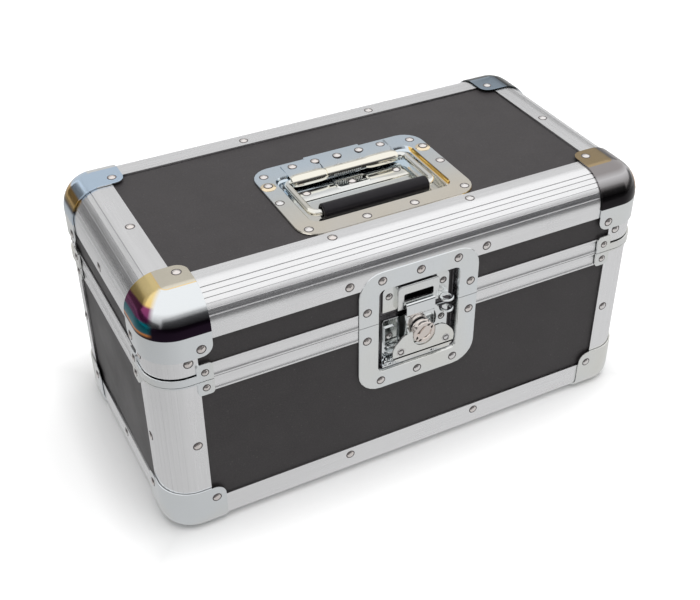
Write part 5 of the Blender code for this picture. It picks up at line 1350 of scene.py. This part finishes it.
def make_keeper():
    """Keeper: a pressed frame with its slot, and a plate on each side."""
    bm = bmesh.new()
    face = box_mm(-18.0, 4.2, 18.0, 26.0, 0.8, 0.8, 3.4, 3.4)
    slot = box_mm(-12.8, 11.0, 12.8, 18.2, 1.6)
    loops = add_dish(bm, [(face, MOUNT_FACE), (face, KEEPER_FACE), (slot, KEEPER_FACE),
                          (slot, KEEPER_FACE - 2.2 * MM)], 5, closed=False)
    round_edges(bm, loops[1], 0.8 * MM)
    for left, right, roundings in ((-29.0, -17.5, (0.5, 0.5, 0.5, 5.0)), (17.5, 29.0, (0.5, 0.5, 5.0, 0.5))):
        add_bar(bm, box_mm(left, 3.4, right, 26.5, *roundings), MOUNT_FACE - MOUNT_SHEET, MOUNT_FACE)
    soften(make_piece("latch_keeper_frame", bm, "lid", "latch", ("latch_keeper",), 40.0, place=latch_place()))


def make_eyes():
    """The two padlock eyes, one on each half: a round ring that stands out level, on its tab."""
    for name, body, level in (("keeper", "lid", 5.1 * MM), ("mount", "base", -5.1 * MM)):
        bm = bmesh.new()
        add_turned(bm, metres(EYE_RING),
                   latch_place(24.0 * MM, level, 2.2 * MM) @ Matrix.Rotation(-math.pi / 2, 4, "X"), 36)
        add_bar(bm, box_mm(19.6, -4.2, 28.4, -0.6, 0.3), level - 0.75 * MM, level + 0.75 * MM,
                latch_place() @ SWAP_Y_Z)
        make_piece(name + "_eye", bm, body, "bright", ("latch_" + name,), 50.0)


def make_mount():
    """Mount: base plate, pivot ears and pin, a bent guide and a torsion spring round the pin."""
    place = latch_place()
    bm = bmesh.new()
    add_bar(bm, box_mm(-29.0, -46.5, 29.0, -4.0, 2.5), MOUNT_FACE - MOUNT_SHEET, MOUNT_FACE, place)
    add_bar(bm, box_mm(-30.5, -46.6, 30.5, -45.0, 0.5), MOUNT_FACE, 0.6 * MM, place)
    ear = box_corners((PIVOT_H - 4.0 * MM, MOUNT_FACE - 0.5 * MM), (PIVOT_H + 4.0 * MM, 2.7 * MM),
                      *mm(0.3, 0.3, 3.8, 3.8))
    for start, end in metres(((-28.0, -26.5), (26.5, 28.0))):
        add_bar(bm, ear, start, end, place @ ALONG_X)
    add_turned(bm, metres(LATCH_PIN), place @ facing((0, PIVOT_H, 0), (1, 0, 0)), 24)
    soften(make_piece("latch_mount_plate", bm, "base", "bright", ("latch_mount",), 40.0))
    bm = bmesh.new()
    add_bar(bm, box_mm(-27.5, -26.5, -17.0, -10.5, 0.5, 0.5, 3.0, 0.5), MOUNT_FACE, MOUNT_FACE + GUIDE_SHEET,
            place)
    for left, right, rise, low, high in metres(GUIDE_WALLS):
        add_bar(bm, box_corners((left, MOUNT_FACE), (right, rise), *mm(0.4, 0.4, 2.0, 2.0)), low, high,
                place @ SWAP_Y_Z)
    soften(make_piece("latch_guide", bm, "base", "bright", ("latch_mount",), 40.0))
    bm = bmesh.new()
    for x in (-18.6 * MM, 18.6 * MM):
        add_coil(bm, 2.75 * MM, 0.6 * MM, 1.35 * MM, 8, latch_place(x, PIVOT_H, 0))
    make_piece("latch_torsion_spring", bm, "base", "bright", ("latch_mount",), 60.0)


def make_draw_plate():
    """Draw plate: a shouldered tongue whose top is rolled into the hook, with its edges bent back."""
    bm = bmesh.new()
    ends = [bm.verts.new((x, -30.0 * MM, DRAW_FACE - 0.6 * MM)) for x in (-DRAW_HALF, DRAW_HALF)]
    edges = [bm.edges.new(ends)]
    for step in ((0, 29.0, 0), (0, 1.0, 0.6), (0, 9.0, 0)):
        edges = draw_out(bm, edges, Vector(step) * MM)
    turn_out(bm, edges, mm(0, 9.0, 2.5), (1, 0, 0), -math.radians(215.0), 12)
    merge(bm)

    def flat_part(edge):
        return all(vert.co.y < 0.5 * MM for vert in edge.verts)

    draw_out(bm, [edge for edge in bm.edges if len(edge.link_faces) == 1 and flat_part(edge)
                  and abs(edge.verts[0].co.x - edge.verts[1].co.x) < WELD], (0, 0, -2.4 * MM))
    bends = [edge for edge in bm.edges if len(edge.link_faces) == 2 and flat_part(edge)
             and all(abs(abs(vert.co.x) - DRAW_HALF) < WELD and vert.co.z > DRAW_FACE - 1.0 * MM
                     for vert in edge.verts)]
    round_edges(bm, bends, 0.7 * MM)
    thicken(make_piece("latch_draw_tongue", bm, "latch_draw", "bright", ("latch_draw_plate",), 30.0, OUT,
                       latch_place()), 0.9 * MM)


def make_knob():
    """Twist knob: grooved head with two half-round thumb dimples beside its slanting bar."""
    bm = bmesh.new()
    add_turned(bm, metres(KNOB_HEAD), Matrix.Identity(4), 40)
    merge(bm)
    rim = [edge for edge in bm.edges if len(edge.link_faces) == 1 and edge.verts[0].co.z > 10.9 * MM]
    top = bmesh.ops.edgeloop_fill(bm, edges=rim)["faces"]
    face_out(bm)
    slope = Vector((1.0, -1.0, 0)).normalized()
    for offset in (-1.3, 1.3):
        around = [item for face in top for item in [face] + list(face.edges) + list(face.verts)]
        bmesh.ops.bisect_plane(bm, geom=list(dict.fromkeys(around)), dist=CUT_NEAR,
                               plane_co=slope * offset * MM, plane_no=slope)
        top = [face for face in bm.faces if all(vert.co.z > 10.95 * MM for vert in face.verts)]
    halves = [face for face in top if abs(face.calc_center_median().dot(slope)) > 1.5 * MM]
    for thickness, depth in ((2.7, 0), (0.5, -1.0)):
        bmesh.ops.inset_individual(bm, faces=halves, thickness=thickness * MM, depth=depth * MM)
    soften(make_piece("latch_knob_head", bm, "latch_knob", "knob", ("latch_knob",), 30.0,
                      place=latch_place(0, KNOB_H, 0)), 0.2 * MM)


def make_wing():
    """Butterfly wing with its rolled ears on the pin and two eyelet rivets."""
    bm = bmesh.new()
    place = latch_place(0, KNOB_H, 0)
    left = tuple((-x, y, rounding) for x, y, rounding in reversed(WING_SIDE[1:]))
    add_bar(bm, metres(WING_SIDE + left + WING_NOTCH), WING_BACK, WING_FACE, place, 8)
    add_turned(bm, metres(WING_PIN), place @ facing((0, 0, 8.3 * MM), (1, 0, 0)), 20)
    soften(make_piece("latch_wing_plate", bm, "latch_wing", "latch", ("latch_wing",), 40.0), 0.35 * MM)
    bm = bmesh.new()
    grime = bm.verts.layers.float.new("grime")
    for x in (-20.0 * MM, 20.0 * MM):
        spot = place @ Matrix.Translation((x, -12.4 * MM, WING_FACE))
        for vert in add_turned(bm, metres(EYELET), spot, 28):
            away = (vert.co - spot.to_translation()).length
            # Painted shade in the eyelet's hollow and round its foot
            vert[grime] = 1.0 if 1.7 * MM < away < 2.6 * MM or away > 3.4 * MM else 0.0
    make_piece("latch_wing_eyelets", bm, "latch_wing", "rivet", ("latch_wing",), 50.0)


# Studio

# The camera's place and angles as fitted to the photograph, in degrees, and its lens
CAMERA_PLACE = (-0.3546, -0.68365, 0.6591)
CAMERA_ANGLES = (-27.13, 36.83, -0.28)
CAMERA_LENS = 57.04
CAMERA_SHIFT = (0.0034, 0.0024)

# Floor: how far from the case its glow comes back, leaving a painted shadow round the case, how strong it is,
# and half its size
FLOOR_FADE = 0.045
FLOOR_GLOW = 0.3
FLOOR_HALF = 30.0

# Lamps: name, place, width and height
LAMP_AIM = (0, 0, 0.1)
LAMPS = (("key", (0.25, -0.15, 1.75), 1.9, 1.5), ("side", (1.7, -0.9, 0.95), 0.9, 0.9))

# Cards that only reflections show: middle, size, turn about Z and tilt from lying flat, colour and glow
WHITE = (1.0, 1.0, 1.0)
CARD = (0.05, 0.05, 0.05)
CARD_COOL = (0.05, 0.05, 0.055)
CARDS = (
    ("front_low", (0.4, -2.3, 0.60), (5.4, 1.2), (0.0, 90.0), CARD_COOL, (0.05, 0.05)),
    ("front_high", (0.4, -2.3, 1.47), (5.4, 0.54), (0.0, 90.0), CARD_COOL, (0.5, 0.5)),
    ("left", (-2.9, 0.0, 0.42), (4.8, 0.8), (90.0, 90.0), CARD, (0.12, 0.12)),
    ("back_left", (-2.4, 2.4, 0.74), (2.6, 1.42), (0.0, 90.0), CARD, (0.05, 0.12)),
    ("back_left_high", (-2.4, 2.4, 1.9), (3.2, 0.9), (0.0, 90.0), CARD, (0.48, 0.48)),
    ("back", (1.3, 2.45, 1.35), (4.4, 2.65), (0.0, 90.0), CARD, (0.62, 0.60)),
    ("back_right", (2.7, 2.4, 0.95), (2.0, 0.9), (0.0, 90.0), CARD, (0.30, 0.30)),
    ("right", (2.6, -0.6, 0.30), (2.6, 0.5), (90.0, 90.0), CARD, (0.2, 0.2)),
    ("floor_far", (0.4, -1.7, 0.004), (5.4, 1.8), (0.0, 0.0), CARD, (0.12, 0.12)),
    ("floor_near", (0.0, 0.25, 0.002), (2.4, 2.1), (0.0, 0.0), CARD, (0.15, 0.60)),
)


def make_camera():
    """Camera at the place that the photograph was taken from."""
    azimuth, elevation, roll = [math.radians(angle) for angle in CAMERA_ANGLES]
    back = Vector((math.sin(azimuth) * math.cos(elevation), -math.cos(azimuth) * math.cos(elevation),
                   math.sin(elevation)))
    level = Vector((math.cos(azimuth), math.sin(azimuth), 0))
    upright = back.cross(level)
    right = level * math.cos(roll) + upright * math.sin(roll)
    up = upright * math.cos(roll) - level * math.sin(roll)
    lens = bpy.data.cameras.new("camera")
    lens.lens = CAMERA_LENS
    lens.shift_x, lens.shift_y = CAMERA_SHIFT
    camera = bpy.data.objects.new("camera", lens)
    bpy.context.scene.collection.objects.link(camera)
    camera.matrix_world = axes(CAMERA_PLACE, right, up, back)
    bpy.context.scene.camera = camera


def add_lamp(name, place, width, height, power):
    """A soft rectangular lamp that points at the case and isn't seen in reflections."""
    light = bpy.data.lights.new(name, "AREA")
    light.shape = "RECTANGLE"
    light.size = width
    light.size_y = height
    light.energy = power
    lamp = bpy.data.objects.new(name, light)
    bpy.context.scene.collection.objects.link(lamp)
    lamp.location = place
    lamp.rotation_euler = (Vector(LAMP_AIM) - Vector(place)).to_track_quat("-Z", "Y").to_euler()
    lamp.visible_glossy = False


def new_backdrop(name, colour, roughness):
    """A dull material that may glow white."""
    surface, tree, shader, place = new_surface(name, roughness, 0.0)
    shader.inputs["Specular IOR Level"].default_value = 0.0
    for label, tone in (("Base Color", colour), ("Emission Color", WHITE)):
        shader.inputs[label].default_value = (*tone, 1.0)
    return surface, tree, shader.inputs["Emission Strength"], place


def floor_surface(colour):
    """Plain floor whose glow only the camera sees, and which fades near the case into a painted shadow round
    it.
    """
    surface, tree, glow, place = new_backdrop("floor", colour, 0.9)
    spot = add_axes(tree, place)
    beyond = [add_math(tree, "SUBTRACT", add_math(tree, "ABSOLUTE", spot[axis], 0.0), half)
              for axis, half in (("X", RIGHT), ("Y", BACK))]
    away = add_range(tree, add_math(tree, "MAXIMUM", *beyond), 0.0, FLOOR_FADE, 0.0, FLOOR_GLOW)
    path = tree.nodes.new("ShaderNodeLightPath")
    wire(tree, (add_product(tree, path.outputs["Is Camera Ray"], away), glow))
    return surface


def card_surface(name, colour, glow_range, width):
    """A dull card; its glow runs from the first value at its left end to the second at its middle."""
    surface, tree, glow, place = new_backdrop(name, colour, 1.0)
    if glow_range[0] == glow_range[1]:
        glow.default_value = glow_range[0]
    else:
        share = add_depth(tree, place, "X", -width / 2, 0.0)
        wire(tree, (add_range(tree, share, 0.0, 1.0, *glow_range), glow))
    return surface


def make_flat(name, matrix, size, surface):
    """A flat square that belongs to the studio."""
    bm = bmesh.new()
    bmesh.ops.create_grid(bm, x_segments=1, y_segments=1, size=size, matrix=matrix)
    mesh = bpy.data.meshes.new(name)
    bm.to_mesh(mesh)
    bm.free()
    mesh.materials.append(surface)
    flat = bpy.data.objects.new(name, mesh)
    bpy.context.scene.collection.objects.link(flat)
    return flat


def make_cards():
    """Cards round the studio, which only reflections show."""
    for name, place, (width, height), (turn, tilt), colour, glow in CARDS:
        matrix = (Matrix.Rotation(math.radians(turn), 4, "Z") @ Matrix.Rotation(math.radians(tilt), 4, "X")
                  @ Matrix.Diagonal((width, height, 1, 1)))
        card = make_flat("card_" + name, matrix, 0.5, card_surface("card_" + name, colour, glow, width))
        card.location = place
        for ray in ("camera", "diffuse", "shadow", "transmission", "volume_scatter"):
            setattr(card, "visible_" + ray, False)


def make_world():
    """White behind everything for the camera and in reflections, and an even light on the case."""
    world = bpy.data.worlds.new("studio")
    bpy.context.scene.world = world
    world.use_nodes = True
    tree = world.node_tree
    path = tree.nodes.new("ShaderNodeLightPath").outputs
    strength = bpy.context.scene.case_studio.fill
    for ray in ("Is Transmission Ray", "Is Glossy Ray", "Is Camera Ray"):
        strength = add_math(tree, "MAXIMUM", path[ray], strength)
    shade = tree.nodes["Background"].inputs
    shade["Color"].default_value = (*WHITE, 1.0)
    wire(tree, (strength, shade["Strength"]))


# Operators

# Finish of the carried-over nodes by a part of their name; the others are zinc
NODE_FINISHES = (("_panel", "laminate"), ("_lining", "foam"), ("_grip", "rubber"),
                 ("_rim_front", "aluminium_x"), ("_rim_back", "aluminium_x"), ("_rim_", "aluminium_y"),
                 ("hinge", "steel"), ("handle_spring", "steel"), ("latch_carrier", "steel"))


class CASE_OT_finishes(bpy.types.Operator):
    """Build the finishes and put them on the panels, linings and other carried-over nodes"""

    bl_idname = "flight_case.finishes"
    bl_label = "Finishes"

    def execute(self, context):
        make_finishes()
        for name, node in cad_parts.items():
            surface = next((finish for part, finish in NODE_FINISHES if part in name), "zinc")
            node.data.materials.clear()
            node.data.materials.append(SURFACES[surface])
        return {"FINISHED"}


class CASE_OT_edges(bpy.types.Operator):
    """Make the ribbed top edges and the plain bottom edges"""

    bl_idname = "flight_case.edges"
    bl_label = "Edges"

    def execute(self, context):
        sizes = trim()
        make_edge_set("lid_edge", TOP, -1, TOP_ARM, sizes.corner_radius, TURN_STEPS, "lid", sizes.flute_depth)
        make_edge_set("bottom_edge", BOTTOM, 1, BOTTOM_ARM, sizes.bottom_radius, BOTTOM_TURN_STEPS, "base")
        return {"FINISHED"}


class CASE_OT_posts(bpy.types.Operator):
    """Make the corner posts and the brackets at their ends"""

    bl_idname = "flight_case.posts"
    bl_label = "Posts and Brackets"

    def execute(self, context):
        make_post_set("base_post", BOTTOM + BOTTOM_ARM + GAP, SPLIT - 1.2 * MM, "base")
        make_post_set("lid_post", SPLIT + 7.5 * MM, TOP - TOP_ARM - GAP, "lid")
        make_brackets("base", 1.4 * MM, BASE_BRACKET, -1, "base")
        make_brackets("lid", 6.3 * MM, LID_BRACKET, 1, "lid")
        return {"FINISHED"}


class CASE_OT_caps(bpy.types.Operator):
    """Make the eight corner caps"""

    bl_idname = "flight_case.caps"
    bl_label = "Corner Caps"

    def execute(self, context):
        sizes = trim()
        for prefix, level, way, arm, rise, radius, body in (
                ("top_cap", TOP, 1, TOP_CAP_ARM, TOP_CAP_DROP, sizes.corner_radius, "lid"),
                ("bottom_cap", BOTTOM, -1, BOTTOM_CAP_ARM, BOTTOM_CAP_RISE, sizes.bottom_radius, "base")):
            make_cap_set(prefix, level, way, arm, rise, radius + CAP_PROUD - PROUD, body)
        return {"FINISHED"}


class CASE_OT_rims(bpy.types.Operator):
    """Make the beaded rims where the lid meets the base"""

    bl_idname = "flight_case.rims"
    bl_label = "Rims"

    def execute(self, context):
        make_rim_set("lid_rim", LID_RIM, "lid")
        make_rim_set("base_rim", BASE_RIM, "base")
        return {"FINISHED"}


class CASE_OT_hinges(bpy.types.Operator):
    """Make the two stop hinges at the back"""

    bl_idname = "flight_case.hinges"
    bl_label = "Hinges"

    def execute(self, context):
        make_hinges()
        return {"FINISHED"}


class CASE_OT_rivets(bpy.types.Operator):
    """Set the rivets of the edges, posts, brackets and caps"""

    bl_idname = "flight_case.rivets"
    bl_label = "Trim Rivets"

    def execute(self, context):
        small = trim().small_rivet_radius
        tab = BRACKET_ARM - BRACKET_TAB / 2
        make_rivets("edge_rivets_lid", edge_spots(TOP, -1, EDGE_RIVET_U, True), "lid")
        make_rivets("edge_rivets_base", edge_spots(BOTTOM, 1, BOTTOM_RIVET_U, False), "base")
        for body, height in (("lid", LID_POST_RIVET), ("base", -BASE_POST_RIVET)):
            make_rivets("post_rivets_" + body, corner_spots(POST_RIVET_U, PROUD, SPLIT + height), body)
        for body, height in (("lid", LID_BRACKET / 2), ("base", -BASE_BRACKET / 2)):
            make_rivets("bracket_rivets_" + body, corner_spots(tab, BRACKET_PROUD, SPLIT + height), body,
                        small)
        crown = [((x + x_in * CAP_RIVET, y + y_in * CAP_RIVET, TOP + CAP_PROUD), UP)
                 for _, x, y, x_in, y_in in each_corner()]
        make_rivets("cap_rivets_lid", corner_spots(CAP_RIVET, CAP_PROUD, TOP - TOP_CAP_RIVET) + crown, "lid")
        make_rivets("cap_rivets_base", corner_spots(CAP_RIVET, CAP_PROUD, BOTTOM + BOTTOM_CAP_RIVET), "base")
        return {"FINISHED"}


class CASE_OT_handle(bpy.types.Operator):
    """Make the recessed handle: dish, hood, strap, bail, grip and spring"""

    bl_idname = "flight_case.handle"
    bl_label = "Handle"

    def execute(self, context):
        for make in (make_handle_dish, make_handle_lip, make_handle_hood, make_handle_strap, make_bail,
                     make_handle_spring, make_handle_rivets):
            make()
        return {"FINISHED"}


class CASE_OT_latch(bpy.types.Operator):
    """Make the twist latch: dish halves, keeper, mount, draw plate, knob and wing"""

    bl_idname = "flight_case.latch"
    bl_label = "Latch"

    def execute(self, context):
        make_latch_dish("latch_lid_dish", 1, "lid")
        make_latch_dish("latch_base_dish", -1, "base")
        for make in (make_latch_rivets, make_keeper, make_eyes, make_mount, make_draw_plate, make_knob,
                     make_wing):
            make()
        return {"FINISHED"}


class CASE_OT_studio(bpy.types.Operator):
    """Set up the camera, the floor and the light"""

    bl_idname = "flight_case.studio"
    bl_label = "Studio"

    def execute(self, context):
        studio = context.scene.case_studio
        context.scene.view_settings.view_transform = "Standard"
        make_camera()
        make_world()
        make_cards()
        for (name, place, width, height), power in zip(LAMPS, (studio.key_power, studio.side_power)):
            add_lamp(name, place, width, height, power)
        make_flat("floor", Matrix.Identity(4), FLOOR_HALF, floor_surface(studio.floor))
        return {"FINISHED"}


OPERATORS = (CASE_OT_finishes, CASE_OT_edges, CASE_OT_posts, CASE_OT_caps, CASE_OT_rims, CASE_OT_hinges,
             CASE_OT_rivets, CASE_OT_handle, CASE_OT_latch, CASE_OT_studio)


class CASE_PT_sidebar(bpy.types.Panel):
    """Lists the steps that dress the case"""

    bl_idname = "CASE_PT_sidebar"
    bl_label = "Record Flight Case"
    bl_space_type = "VIEW_3D"
    bl_region_type = "UI"
    bl_category = "Flight Case"

    def draw(self, context):
        column = self.layout.column(align=True)
        for operator in OPERATORS:
            column.operator(operator.bl_idname)


CLASSES = (CaseTrim, CaseFinish, CaseStudio) + OPERATORS + (CASE_PT_sidebar,)


def register():
    """Register the classes and hang the settings on the scene."""
    for kind in CLASSES:
        bpy.utils.register_class(kind)
    bpy.types.Scene.case_trim = PointerProperty(type=CaseTrim)
    bpy.types.Scene.case_finish = PointerProperty(type=CaseFinish)
    bpy.types.Scene.case_studio = PointerProperty(type=CaseStudio)


def unregister():
    """Take the settings and the classes away again."""
    del bpy.types.Scene.case_studio
    del bpy.types.Scene.case_finish
    del bpy.types.Scene.case_trim
    for kind in reversed(CLASSES):
        bpy.utils.unregister_class(kind)


def main():
    """Dress the case step by step."""
    register()
    for operator in OPERATORS:
        group, name = operator.bl_idname.split(".")
        getattr(getattr(bpy.ops, group), name)()


if __name__ == "__main__":
    main()
